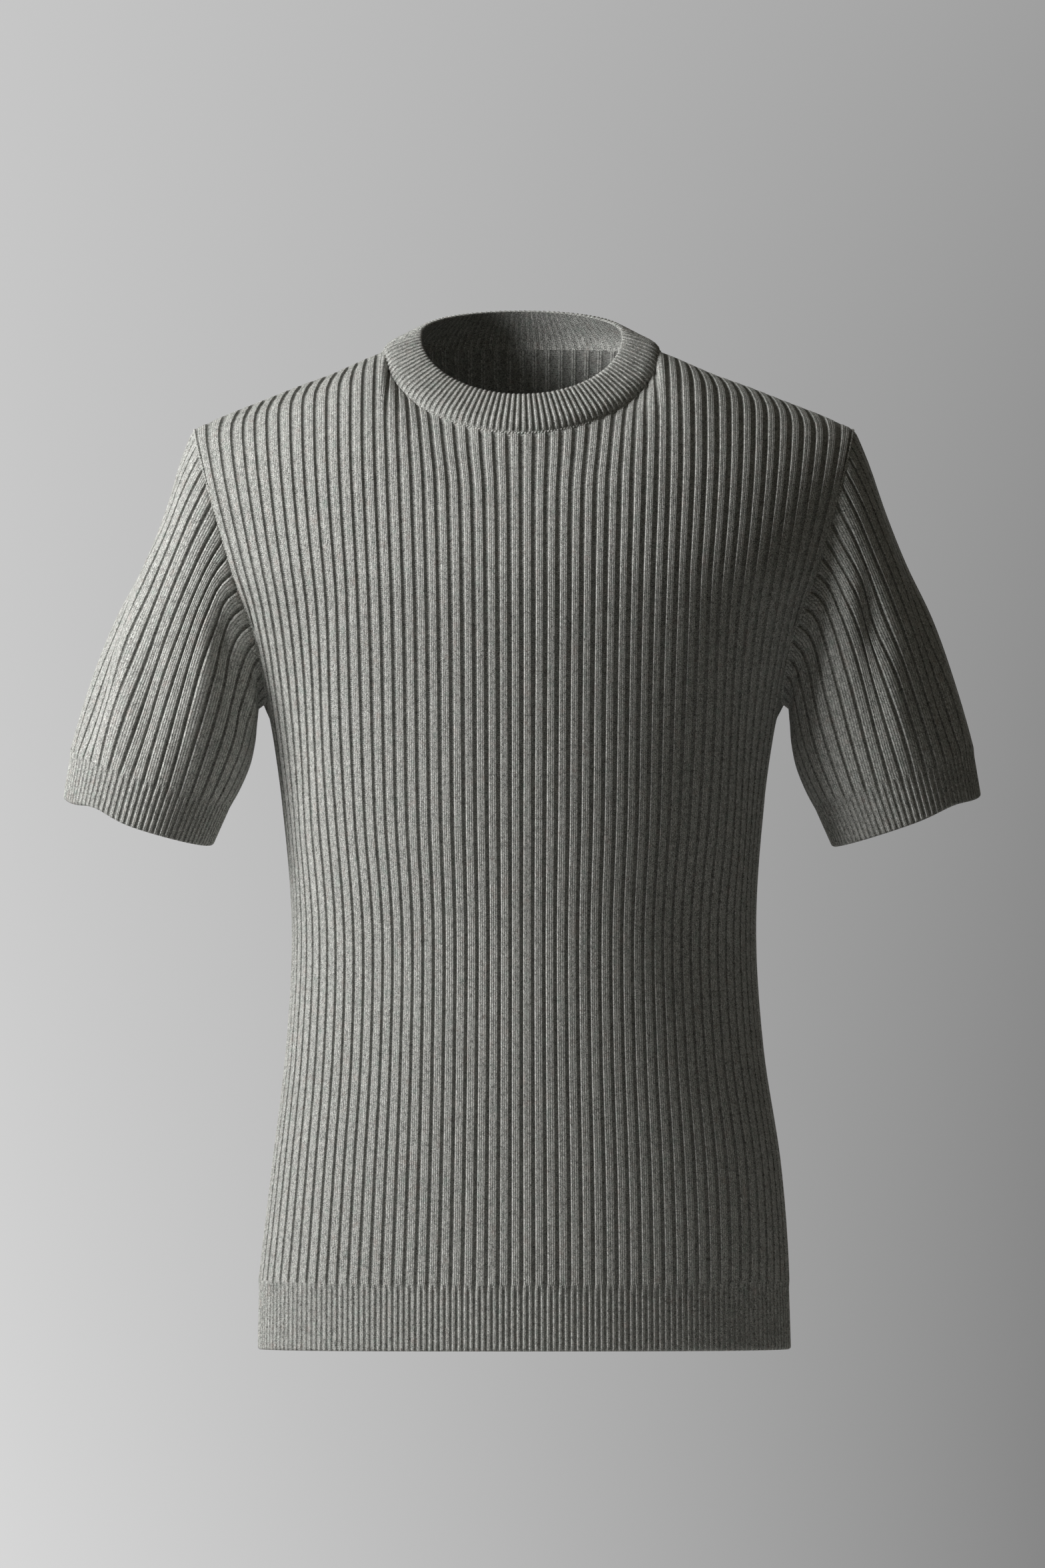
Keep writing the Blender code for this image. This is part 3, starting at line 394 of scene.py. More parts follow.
def panel_rows(side, across):
    """The inside face of the front (-1) or back (1) panel, row by row from the hem's seam up."""
    rows = []
    for level, left, right, front, back, pitch in BODY:
        depth = by_side(side, front, back)
        out, deep, high = body_row(side, across, left, right, depth, 90.0, level, pitch)
        rows.append(np.stack([np.sign(across) * out, deep, high], -1))
    beside = np.clip((1.0 - np.abs(across)) * PANEL_RIBS * 2.0, 0.0, 1.0)
    for turn, left, right, centre, front, back, sweep, tuck, pitch in ARMHOLE:
        edge = by_side(side, ARMHOLE_FRONT, ARMHOLE_BACK) * math.sin(math.radians(turn))
        edge_level = ARMHOLE_MIDDLE - ARMHOLE_HALF * math.cos(math.radians(turn))
        depth = by_side(side, front, back) - edge
        out, deep, _ = body_row(side, across, left, right, depth, sweep, 0.0, pitch)
        level = centre + (edge_level - centre) * across**2
        out = out - tuck * beside * across**4
        rows.append(np.stack([np.sign(across) * out, deep + side * edge, level], -1))
    last, before = rows[-1], rows[-2]
    share = ease(np.abs(across) / (YOKE_SPREAD * NECK_U))[:, None]
    lean, over = (
        np.array([0.0, -side * deep, high]) for deep, high in (YOKE_RUN[side], SHOULDER_RUN)
    )
    for s, reach in YOKE:
        top = soft_top(side, across, reach)
        chord = np.linalg.norm(top - last, axis=1)[:, None]
        start = unit(last - before) * chord * YOKE_PULL
        finish = unit((1.0 - share) * lean + share * over) * chord * YOKE_PULL
        at, leave, to, arrive = cubic(s)
        rows.append(at * last + leave * start + to * top + arrive * finish)
    rows.append(top_edge(side, across))
    grid = np.stack(rows)
    for row in grid[:-1]:
        row += unit(row * NO_RISE) * body_folds(side, across, row[:, 2])[:, None]
    return grid


def sleeve_ring(side, ring, turn):
    """A flat ring of the sleeve at turns from the underarm through the front, in degrees."""
    out, level, half, depth = ring
    angle = np.radians(turn)
    aside = -half * np.cos(angle)
    ahead = -depth * np.sin(angle)
    return np.stack(
        [
            side * (out + aside * math.cos(CUFF_TILT[side])) + SLEEVE_SHIFT,
            ahead,
            level + aside * math.sin(CUFF_TILT[side]) + CUFF_PITCH[side] * ahead / depth,
        ],
        -1,
    )


def sleeve_folds(side, turn, along):
    """How far the folds lift the sleeve's wall at one place along it."""
    total = np.zeros_like(turn)
    for place, middle, reach_turn, reach_along, lean, height in SLEEVE_FOLDS[side]:
        off = (along - middle) / reach_along
        for lap in (-360.0, 0.0, 360.0):
            aside = (turn + lap - place - lean * off) / reach_turn
            total = total + height * math.exp(-(off**2)) * np.exp(-(aside**2))
    first, last = SLEEVE_FADE
    return total * min(1.0, along / first) * min(1.0, (1.0 - along) / last)


def sleeve_swell(side, turn, along):
    """How far the sleeve's wall stands out of its straight line."""
    table = np.array([(0.0, *row[1:], 0.0) for row in SWELL + (SWELL[0],)], float)
    turns = np.array([row[0] for row in SWELL] + [360.0])
    column = np.array([np.interp(along, SLEEVE_ROWS, row) for row in table])
    slot = np.clip(np.searchsorted(turns, turn, side="right") - 1, 0, len(turns) - 2)
    share = (turn - turns[slot]) / (turns[slot + 1] - turns[slot])
    share = (1.0 - np.cos(math.pi * share)) / 2.0
    swell = column[slot] * (1.0 - share) + column[slot + 1] * share
    return swell + sleeve_folds(side, turn, along)


def sleeve_away(side, turn):
    """Straight out of the sleeve's line at its turns."""
    angle, tilt = np.radians(turn), CUFF_TILT[side]
    aside, high = -np.cos(angle) * math.cos(tilt), -np.cos(angle) * math.sin(tilt)
    return np.stack([side * aside, -np.sin(angle), high], -1)


def sleeve_drift(turn, along):
    """How far round the ribs are drawn from their straight run, in degrees."""
    below = np.minimum(turn, 360.0 - turn)
    reach = np.where(below < DRIFT_TURN, DRIFT_LOW, DRIFT_HIGH)
    far = DRIFT * np.exp(-(((below - DRIFT_TURN) / reach) ** 2))
    far = far * np.minimum(below / DRIFT_START, 1.0)
    run = along / DRIFT_ALONG
    fade = min(1.0, (1.0 - along) / DRIFT_END)
    return np.sign(180.0 - turn) * far * run * math.exp(1.0 - run) * fade


def sleeve_rows(side, armhole, turn):
    """The inside face of a sleeve between the armhole's points and the cuff's seam."""
    rows = []
    for along in SLEEVE_ROWS:
        drawn = turn + sleeve_drift(turn, along)
        seam = np.stack([np.interp(drawn, turn, part, period=360.0) for part in armhole.T], -1)
        line = seam + (sleeve_ring(side, CUFF_SEAM, drawn) - seam) * along
        rows.append(line + sleeve_away(side, drawn) * sleeve_swell(side, drawn, along)[:, None])
    return np.stack(rows)


def cuff_normal(side):
    """The normal of the cuff seam's plane, pointing up the sleeve."""
    ring = sleeve_ring(side, CUFF_SEAM, np.array([0.0, 90.0, 180.0]))
    normal = unit(np.cross(ring[2] - ring[0], ring[1] - ring[0]))
    return normal * np.sign(normal[2])


# ---- smooth curves through rows of points -----------------------------------------------------
def slopes(rows, closed):
    """Chord lengths between rows of points and the slopes of smooth curves at the rows."""
    if closed:
        rows = np.concatenate([rows[-1:], rows, rows[:1]])
    chord = np.maximum(np.linalg.norm(np.diff(rows, axis=0), axis=-1, keepdims=True), 1e-6)
    slope = np.diff(rows, axis=0) / chord
    inner = (chord[1:] * slope[:-1] + chord[:-1] * slope[1:]) / (chord[1:] + chord[:-1])
    if closed:
        return chord[1:], inner
    first, last = 2.0 * slope[:1] - inner[:1], 2.0 * slope[-1:] - inner[-1:]
    return chord, np.concatenate([first, inner, last])


def along_rows(rows, places, closed=False):
    """Points on the smooth curves through rows of points, at places counted in rows."""
    chord, slope = slopes(rows, closed)
    number = np.minimum(np.floor(places).astype(int), len(chord) - 1)
    after = (number + 1) % len(rows)
    s = (places - number).reshape(-1, *([1] * (rows.ndim - 1)))
    at, leave, to, arrive = cubic(s)
    return (
        at * rows[number]
        + leave * chord[number] * slope[number]
        + to * rows[after]
        + arrive * chord[number] * slope[after]
    )


def row_places(rows, step):
    """Places between rows of points that cut them into rows about one step apart."""
    places = [0.0]
    for number, chord in enumerate(np.linalg.norm(np.diff(rows, axis=0), axis=-1).mean(axis=1)):
        count = max(1, round(chord / step))
        places += [number + (k + 1) / count for k in range(count)]
    return np.array(places)


def normals(grid, closed):
    """Unit normals of a grid of points, rows by columns."""
    along = np.gradient(grid, axis=0)
    if closed:
        across = (np.roll(grid, -1, axis=1) - np.roll(grid, 1, axis=1)) / 2.0
    else:
        across = np.gradient(grid, axis=1)
    return unit(np.cross(across, along))


def run_down(grid):
    """How far each point of a grid lies along its column."""
    steps = np.linalg.norm(np.diff(grid, axis=0), axis=-1)
    return np.concatenate([np.zeros((1, grid.shape[1])), np.cumsum(steps, axis=0)])


def resample(grid, places, wanted):
    """Values of each row of a grid at other places across it, its own or the same for all rows."""
    made = np.empty((len(grid), wanted.shape[-1], *grid.shape[2:]))
    flat = grid.reshape(len(grid), grid.shape[1], -1)
    into = made.reshape(len(grid), wanted.shape[-1], -1)
    for number, row in enumerate(flat):
        at = wanted[number] if wanted.ndim > 1 else wanted
        for part in range(row.shape[1]):
            into[number, :, part] = np.interp(at, places, row[:, part])
    return made


def share_out(lengths, total):
    """Whole numbers in proportion to the lengths, at least one each, that add up to the total."""
    lengths = np.asarray(lengths, float)
    ideal = lengths / lengths.sum() * total
    counts = np.maximum(1, np.floor(ideal).astype(int))
    while counts.sum() < total:
        counts[np.argmax(ideal - counts)] += 1
    while counts.sum() > total:
        counts[np.argmax(np.where(counts > 1, counts - ideal, -1e9))] -= 1
    return counts


# ---- ribs --------------------------------------------------------------------------------------
def wide_phases(share):
    """Places of a wide rib's points from groove to groove, for grooves of a share of its pitch."""
    share = np.asarray(share, float)[..., None]
    foot, wale = share / 2.0, (1.0 - share) / 2.0
    # the groove's middle and foot, four points up and over the crest, and the crest's middle
    half = np.concatenate(
        [0.0 * foot, 0.84 * foot, foot + 0.02 * wale, foot + 0.15 * wale, foot + 0.38 * wale,
         0.5 - 0.22 * wale, 0.5 + 0.0 * foot], -1
    )
    return np.concatenate([half, 1.0 - half[..., 5:0:-1]], -1)


def stitch_places(places, share, wales):
    """Places in ribs counted in stitches: one in each rib's groove and the others on its crest."""
    phase = np.modf(places)[0]
    mirrored = np.minimum(phase, 1.0 - phase)
    crest = 0.5 + (mirrored - share / 2.0) / (1.0 - share) * (wales - 1)
    stitch = np.where(mirrored < share / 2.0, mirrored / share, crest)
    return np.where(phase > 0.5, wales - stitch, stitch) + wales * np.floor(places)


# how an attribute's values are written: its field and their type
FIELDS = {
    "FLOAT": ("value", np.float32),
    "FLOAT_VECTOR": ("vector", np.float32),
    "BOOLEAN": ("value", bool),
}


def keep(mesh, label, kind, domain, values):
    """Writes one value for each point, edge or face of a mesh, under a name."""
    field, sort = FIELDS[kind]
    values = np.ascontiguousarray(values, sort).ravel()
    mesh.attributes.new(label, kind, domain).data.foreach_set(field, values)


def placed(name, data):
    """A new object in the scene."""
    thing = bpy.data.objects.new(name, data)
    bpy.context.scene.collection.objects.link(thing)
    return thing


class Shell:
    """One piece's faces, with what raises the ribs at each point and the knit at each corner."""

    cuts = ("wide", "fine", "fineness", "relief")

    def __init__(self, closed):
        self.closed = closed
        self.points, self.out, self.cut = [], [], [[] for _ in self.cuts]
        self.faces, self.corners, self.reverse = [], [], []
        self.creases = []
        self.count = 0

    def layer(self, points, out, cut, knit, places):
        """Adds a grid of points; returns its numbers, knit places and places across."""
        shape = points.shape[:2]
        self.points.append(points.reshape(-1, 3))
        self.out.append(out.reshape(-1, 3))
        for store, values in zip(self.cut, cut):
            store.append(np.broadcast_to(values, shape).ravel())
        index = self.count + np.arange(shape[0] * shape[1]).reshape(shape)
        self.count += index.size
        if self.closed:
            index = np.hstack([index, index[:, :1]])
        return index, knit, places

    def quads(self, layer, reverse):
        """Faces between the rows of a layer, turned round for the reverse side."""
        index, knit, _ = layer
        for data, store, shape in ((index, self.faces, (-1, 4)), (knit, self.corners, (-1, 4, 2))):
            ring = [data[:-1, :-1], data[:-1, 1:], data[1:, 1:], data[1:, :-1]]
            store += np.stack(ring[::-1] if reverse else ring, 2).reshape(shape).tolist()
        self.reverse += [reverse] * ((index.shape[0] - 1) * (index.shape[1] - 1))

    def strip(self, low, high):
        """Triangles between two borders: numbers, knit places and places along each."""
        (a, _, along_a), (b, _, along_b) = low, high
        i = j = 0
        while i < len(a) - 1 or j < len(b) - 1:
            b_done, a_left = j == len(b) - 1, i < len(a) - 1
            if b_done or (a_left and along_a[i + 1] <= along_b[j + 1] + 1e-9):
                turn = ((low, i), (low, i + 1), (high, j))
                i += 1
            else:
                turn = ((low, i), (high, j + 1), (high, j))
                j += 1
            self.faces.append([int(border[0][k]) for border, k in turn])
            self.corners.append([list(border[1][k]) for border, k in turn])
            self.reverse.append(False)

    def wall(self, outside, inside, rows_out, rows_in, seams):
        """Both faces and the edges that join them; rows that are seams keep a crisp corner."""
        self.quads(outside, False)
        self.quads(inside, True)

        def row_of(layer, row):
            index, knit, across = layer
            return index[row], knit[row], across if across.ndim == 1 else across[row]

        def side_of(layer, column, places):
            index, knit, _ = layer
            return index[:, column], knit[:, column], places

        self.strip(row_of(inside, 0), row_of(outside, 0))
        self.strip(row_of(outside, -1), row_of(inside, -1))
        self.creases += [layer[0][row] for layer in (outside, inside) for row in seams]
        if not self.closed:
            self.creases += [layer[0][:, end] for layer in (outside, inside) for end in (0, -1)]
            self.strip(side_of(outside, 0, rows_out), side_of(inside, 0, rows_in))
            self.strip(side_of(inside, -1, rows_in), side_of(outside, -1, rows_out))

    def make(self, name):
        """The piece's object, its wall still plain."""
        points = np.concatenate(self.points) * MM
        out = np.concatenate(self.out)
        halves = [face[:3] for face in self.faces]
        halves += [[face[0], face[2], face[3]] for face in self.faces if len(face) > 3]
        corner = (points + out * 2.0 * MM)[np.array(halves)]
        if np.sum(np.cross(corner[:, 0], corner[:, 1]) * corner[:, 2]) < 0:
            self.faces = [face[::-1] for face in self.faces]
            self.corners = [spots[::-1] for spots in self.corners]
        mesh = bpy.data.meshes.new(name)
        mesh.from_pydata(points.tolist(), [], self.faces)
        mesh.polygons.foreach_set("use_smooth", [True] * len(mesh.polygons))
        lines = [line.tolist() for line in self.creases]
        crisp = {frozenset(pair) for line in lines for pair in zip(line, line[1:])}
        ends = np.empty(2 * len(mesh.edges), np.int32)
        mesh.edges.foreach_get("vertices", ends)
        sharp = [frozenset(pair) in crisp for pair in ends.reshape(-1, 2).tolist()]
        keep(mesh, "sharp_edge", "BOOLEAN", "EDGE", sharp)
        knit = [place for spots in self.corners for spot in spots for place in spot]
        mesh.uv_layers.new(name="Knit").data.foreach_set("uv", np.array(knit, np.float32))
        keep(mesh, "out", "FLOAT_VECTOR", "POINT", out)
        for label, values in zip(self.cuts, self.cut):
            keep(mesh, label, "FLOAT", "POINT", np.concatenate(values))
        keep(mesh, "reverse", "BOOLEAN", "FACE", self.reverse)
        mesh.update()
        return placed(name, mesh)


# ---- node trees --------------------------------------------------------------------------------
class Graph:
    """A node tree that is filled by short calls."""

    # a Mix node's sockets by the kind of its data: factor, both values and result
    mixes = {"FLOAT": (0, 2, 3, 0), "RGBA": (0, 6, 7, 2)}

    def __init__(self, tree):
        self.tree = tree

    def give(self, socket, value):
        """Links or sets one input; None leaves it as it is."""
        if isinstance(value, bpy.types.NodeSocket):
            self.tree.links.new(value, socket)
        elif value is not None:
            socket.default_value = value

    def fill(self, node, values):
        """Gives a node's inputs by name."""
        for label, value in values.items():
            self.give(node.inputs[label], value)
        return node

    def node(self, kind, *values, named=None, **settings):
        """A node with its inputs given in order or by name."""
        made = self.tree.nodes.new(kind)
        for key, value in settings.items():
            setattr(made, key, value)
        free = [socket for socket in made.inputs if socket.enabled]
        for socket, value in zip(free, values):
            self.give(socket, value)
        return self.fill(made, named or {})

    def math(self, operation, *values, clamp=False):
        """A Math node's result."""
        return self.node("ShaderNodeMath", *values, operation=operation, use_clamp=clamp).outputs[0]

    def mix(self, factor, a, b, kind="FLOAT"):
        """A number or a colour between two others."""
        made = self.node("ShaderNodeMix", data_type=kind)
        *places, result = self.mixes[kind]
        for number, value in zip(places, (factor, a, b)):
            self.give(made.inputs[number], value)
        return made.outputs[result]

    def spread(self, value, low, high, start, end):
        """From start to end as a value goes from low to high, and no further."""
        return self.node("ShaderNodeMapRange", value, low, high, start, end, clamp=True).outputs[0]

    def scaled(self, vector, factor):
        """A vector times a number."""
        made = self.node("ShaderNodeVectorMath", vector, operation="SCALE", named={"Scale": factor})
        return made.outputs[0]

    def times(self, vector, factors):
        """A vector times a number on each axis."""
        return self.node("ShaderNodeVectorMath", vector, factors, operation="MULTIPLY").outputs[0]

    def noise(self, place, scale, detail, roughness):
        """Noise between 0 and 1 at a place."""
        values = {"Vector": place, "Scale": scale, "Detail": detail, "Roughness": roughness}
        return self.node("ShaderNodeTexNoise", named=values, noise_dimensions="3D").outputs[0]

    def bump(self, strength, distance, height, normal=None):
        """A normal that shows a height as relief, up to a distance in millimetres."""
        values = {"Strength": strength, "Distance": distance * MM, "Height": height}
        return self.node("ShaderNodeBump", named={**values, "Normal": normal}).outputs[0]

    def group(self, tree, values):
        """A placed shader group's outputs."""
        return self.node("ShaderNodeGroup", named=values, node_tree=tree).outputs

    def attribute(self, label, kind="FLOAT"):
        """A named attribute of the geometry."""
        made = self.node("GeometryNodeInputNamedAttribute", named={"Name": label}, data_type=kind)
        named = [socket for socket in made.outputs if socket.name == "Attribute"]
        return next(socket for socket in named if socket.enabled)

    def dressed(self, geometry, material, selection=None):
        """Geometry with a material on all its faces or on some."""
        values = {"Geometry": geometry, "Selection": selection, "Material": material}
        return self.node("GeometryNodeSetMaterial", named=values).outputs[0]


def kept(store):
    """Lets a maker of Blender's data give back what it made before under the same name."""
    def around(maker):
        def found(name, *values):
            return getattr(bpy.data, store).get(name) or maker(name, *values)
        return found
    return around


def new_group(name, kind, inputs, outputs):
    """A node group with named sockets; returns its graph, its own inputs and its own outputs."""
    tree = bpy.data.node_groups.new(name, kind)
    for in_out, sockets in (("INPUT", inputs), ("OUTPUT", outputs)):
        for label, (sort, value) in sockets.items():
            sort = "NodeSocket" + sort
            socket = tree.interface.new_socket(label, in_out=in_out, socket_type=sort)
            if value is not None:
                socket.default_value = value
    graph = Graph(tree)
    given, result = graph.node("NodeGroupInput"), graph.node("NodeGroupOutput")
    return graph, given.outputs, result


GEOMETRY = {"Geometry": ("Geometry", None)}
MATERIAL, VECTOR = ("Material", None), ("Vector", None)


def floats(value, *labels):
    """Number sockets that share their first value."""
    return {label: ("Float", value) for label in labels}


def rib_cut(graph, kind, profile, groove, crest):
    """How far a wall stands out where a rib is cut, at its points' places from groove to groove."""
    made = graph.node("ShaderNodeFloatCurve", named={"Value": graph.attribute(kind)})
    points = made.mapping.curves[0].points
    cut = [*profile, profile[0]]
    points[0].location, points[1].location = (0.0, cut[0]), (1.0, cut[-1])
    for number, height in enumerate(cut[1:-1], 1):
        points.new(number / (len(cut) - 1), height)
    for point in points:
        point.handle_type = "VECTOR"
    made.mapping.update()
    return graph.mix(made.outputs[0], groove, crest)


@kept("node_groups")
def rib_tree(name):
    """Geometry Nodes that raise a wall's ribs and dress both its sides."""
    sizes = floats(0.001, "Groove", "Crest", "Fine Groove", "Fine Crest", "Seam")
    inputs = {**GEOMETRY, **sizes, "Face": MATERIAL, "Reverse": MATERIAL}
    graph, given, result = new_group(name, "GeometryNodeTree", inputs, GEOMETRY)
    wide = rib_cut(graph, "wide", WIDE_PROFILE, given["Groove"], given["Crest"])
    fine = rib_cut(graph, "fine", FINE_PROFILE, given["Fine Groove"], given["Fine Crest"])
    ribbed = graph.mix(graph.attribute("fineness"), wide, fine)
    wall = graph.mix(graph.attribute("relief"), given["Seam"], ribbed)
    step = graph.scaled(graph.attribute("out", "FLOAT_VECTOR"), wall)
    moved = {"Geometry": given["Geometry"], "Offset": step}
    moved = graph.node("GeometryNodeSetPosition", named=moved)
    whole = graph.node("GeometryNodeRealizeInstances", moved.outputs[0])
    face = graph.dressed(whole.outputs[0], given["Face"])
    both = graph.dressed(face, given["Reverse"], graph.attribute("reverse", "BOOLEAN"))
    graph.fill(result, {"Geometry": both})
    return graph.tree


@kept("node_groups")
def chain_tree(name):
    """Geometry Nodes that lay one stitch of a seam's chain at each point, along the seam."""
    sizes = floats(0.002, "Length", "Width", "Height")
    turns = {**floats(0.4, "Lean"), **floats(0.2, "Uneven")}
    inputs = {**GEOMETRY, **sizes, **turns, "Yarn": MATERIAL}
    graph, given, result = new_group(name, "GeometryNodeTree", inputs, GEOMETRY)
    bead = graph.node("GeometryNodeMeshUVSphere", named={"Segments": 8, "Rings": 5, "Radius": 0.5})
    way, out = (graph.attribute(label, "FLOAT_VECTOR") for label in ("way", "out"))
    turn = graph.node("FunctionNodeAlignRotationToVector", named={"Vector": way}, axis="X")
    up = {"Rotation": turn.outputs[0], "Vector": out}
    up = graph.node("FunctionNodeAlignRotationToVector", named=up, axis="Z", pivot_axis="X")
    # lowest, highest and seed of each stitch's chance
    off = graph.node("FunctionNodeRandomValue", 0.6, 1.4, None, 7, data_type="FLOAT")
    chance = next(socket for socket in off.outputs if socket.enabled)
    spin = graph.math("MULTIPLY", given["Lean"], chance)
    spin = graph.node("ShaderNodeCombineXYZ", 0.0, 0.0, spin)
    leaned = {"Rotation": up.outputs[0], "Rotate By": spin.outputs[0]}
    leaned = graph.node("FunctionNodeRotateRotation", named=leaned, rotation_space="LOCAL")
    size = graph.node("ShaderNodeCombineXYZ", *(given[label] for label in sizes))
    more = graph.math("SUBTRACT", chance, 1.0)
    more = graph.math("MULTIPLY_ADD", more, given["Uneven"], 1.0)
    laid = graph.node("GeometryNodeInstanceOnPoints", named={
        "Points": given["Geometry"],
        "Instance": bead.outputs["Mesh"],
        "Rotation": leaned.outputs[0],
        "Scale": graph.scaled(size.outputs[0], more),
    })
    smooth = graph.node("GeometryNodeSetShadeSmooth", laid.outputs[0])
    whole = graph.node("GeometryNodeRealizeInstances", smooth.outputs[0])
    graph.fill(result, {"Geometry": graph.dressed(whole.outputs[0], given["Yarn"])})
    return graph.tree


def settle(thing, tree, values):
    """Runs a tree on an object with its inputs given by name and keeps the result as a mesh."""
    modifier = thing.modifiers.new(tree.name, "NODES")
    modifier.node_group = tree
    for socket in tree.interface.items_tree:
        if socket.in_out == "INPUT" and socket.name in values:
            modifier[socket.identifier] = values[socket.name]
    graph = bpy.context.evaluated_depsgraph_get()
    shown = thing.evaluated_get(graph)
    mesh = bpy.data.meshes.new_from_object(shown, preserve_all_data_layers=True, depsgraph=graph)
    thing.modifiers.clear()
    old, thing.data = thing.data, mesh
    bpy.data.meshes.remove(old)
    mesh.name = thing.name
    for label in ("out", "way", "reverse", *Shell.cuts):
        if label in mesh.attributes:
            mesh.attributes.remove(mesh.attributes[label])


# ---- yarn and knit -----------------------------------------------------------------------------
@kept("node_groups")
def knit_group(name):
    """Shader group: height and shade of the stitches, from a place counted in stitches."""
    inputs = {"Knit": VECTOR, **floats(3.0, "Wales"), **floats(0.0, "Turned")}
    inputs.update(floats(1.1, "Lean"))
    outputs = floats(None, "Height", "Ditch", "Purl", "Chance")
    graph, given, result = new_group(name, "ShaderNodeTree", inputs, outputs)
    place = graph.node("ShaderNodeSeparateXYZ", given["Knit"])
    u = graph.math("ADD", place.outputs[0], 0.5)
    v = place.outputs[1]
    column = graph.math("FLOOR", u)
    inside = graph.math("FRACT", u)
    apart = graph.math("ABSOLUTE", graph.math("SUBTRACT", inside, 0.5))
    apart = graph.math("MULTIPLY", apart, 2.0)
    which = graph.math("FLOORED_MODULO", column, given["Wales"])
    purl = graph.math("LESS_THAN", which, 0.5)
    purl = graph.math("ABSOLUTE", graph.math("SUBTRACT", purl, given["Turned"]))

    def hump(way, power):
        """A round rise and fall as a value goes from 0 to 1."""
        rise = graph.math("SINE", graph.math("MULTIPLY", way, math.pi))
        return graph.math("POWER", graph.math("MAXIMUM", rise, 0.0), power)

    # knit side: two leaning legs to a stitch
    leg_place = graph.math("SUBTRACT", v, graph.math("MULTIPLY", apart, given["Lean"]))
    bead = hump(graph.math("FRACT", leg_place), 0.5)
    leg = graph.math("MULTIPLY", hump(apart, 0.7), graph.math("MULTIPLY_ADD", bead, 0.50, 0.50))
    # purl side: arched bars across the wale
    arch = graph.math("MULTIPLY", graph.math("MULTIPLY", apart, apart), 0.45)
    bar = hump(graph.math("FRACT", graph.math("SUBTRACT", v, arch)), 0.8)
    height = graph.mix(purl, leg, bar)
    # each leg of each stitch has its own chance
    half = graph.math("FLOOR", graph.math("MULTIPLY", inside, 2.0))
    across = graph.math("MULTIPLY_ADD", half, 0.5, column)
    cell = graph.node("ShaderNodeCombineXYZ", across, graph.math("FLOOR", leg_place), purl)
    chance = graph.node("ShaderNodeTexWhiteNoise", cell.outputs[0], noise_dimensions="3D")
    graph.fill(result, {
        "Height": height,
        "Ditch": graph.math("SUBTRACT", 1.0, height, clamp=True),
        "Purl": purl,
        "Chance": chance.outputs["Value"],
    })
    return graph.tree


@kept("node_groups")
def yarn_group(name):
    """Shader group: the heathered yarn, light and dark fibres spun together."""
    inputs = {
        "Knit": VECTOR, "Place": VECTOR, **floats(0.5, "Chance"),
        "Dark": ("Color", (0.1, 0.1, 0.1, 1.0)), "Light": ("Color", (0.5, 0.5, 0.5, 1.0)),
        "Warm": ("Color", (0.3, 0.25, 0.2, 1.0)), "Cool": ("Color", (0.2, 0.3, 0.25, 1.0)),
    }
    outputs = {"Color": ("Color", None), **floats(None, "Fibre")}
    graph, given, result = new_group(name, "ShaderNodeTree", inputs, outputs)
    # fibres drawn out along the stitches, single fibres, and lighter and darker lengths of yarn
    strand = graph.noise(graph.times(given["Knit"], (7.0, 1.6, 1.0)), 1.3, 3.0, 0.6)
    speck = graph.noise(given["Place"], 3000.0, 1.0, 0.5)
    patch = graph.noise(given["Place"], 260.0, 2.0, 0.55)
    tone = graph.math("MULTIPLY", strand, 0.14)
    for part, share in ((speck, 0.74), (patch, 0.06), (given["Chance"], 0.06)):
        tone = graph.math("MULTIPLY_ADD", part, share, tone)
    tone = graph.spread(tone, 0.45, 0.55, 0.0, 1.0)
    colour = graph.mix(tone, given["Dark"], given["Light"], "RGBA")
    hue = graph.noise(given["Place"], 150.0, 3.0, 0.6)
    for label, low, high in (("Warm", 0.58, 0.74), ("Cool", 0.42, 0.26)):
        colour = graph.mix(graph.spread(hue, low, high, 0.0, 0.32), colour, given[label], "RGBA")
    graph.fill(result, {"Color": colour, "Fibre": graph.math("MULTIPLY_ADD", speck, 0.5, strand)})
    return graph.tree


MATT = {"Roughness": 0.92, "Specular IOR Level": 0.18}


def new_material(name, values):
    """A material, its graph and its shader, whose values that are the same all over are given."""
    material = bpy.data.materials.new(name)
    material.use_nodes = True
    graph = Graph(material.node_tree)
    return material, graph, graph.fill(graph.tree.nodes["Principled BSDF"], values)


def yarn(graph, knit, place, chance=None):
    """The heathered yarn's colour and fibres, in the colours that are set."""
    colours = bpy.context.scene.knit_shirt.colours
    values = {"Knit": knit, "Place": place, "Chance": chance}
    for tint in ("Dark", "Light", "Warm", "Cool"):
        values[tint] = (*getattr(colours, tint.lower()), 1.0)
    return graph.group(yarn_group("Heather Yarn"), values)


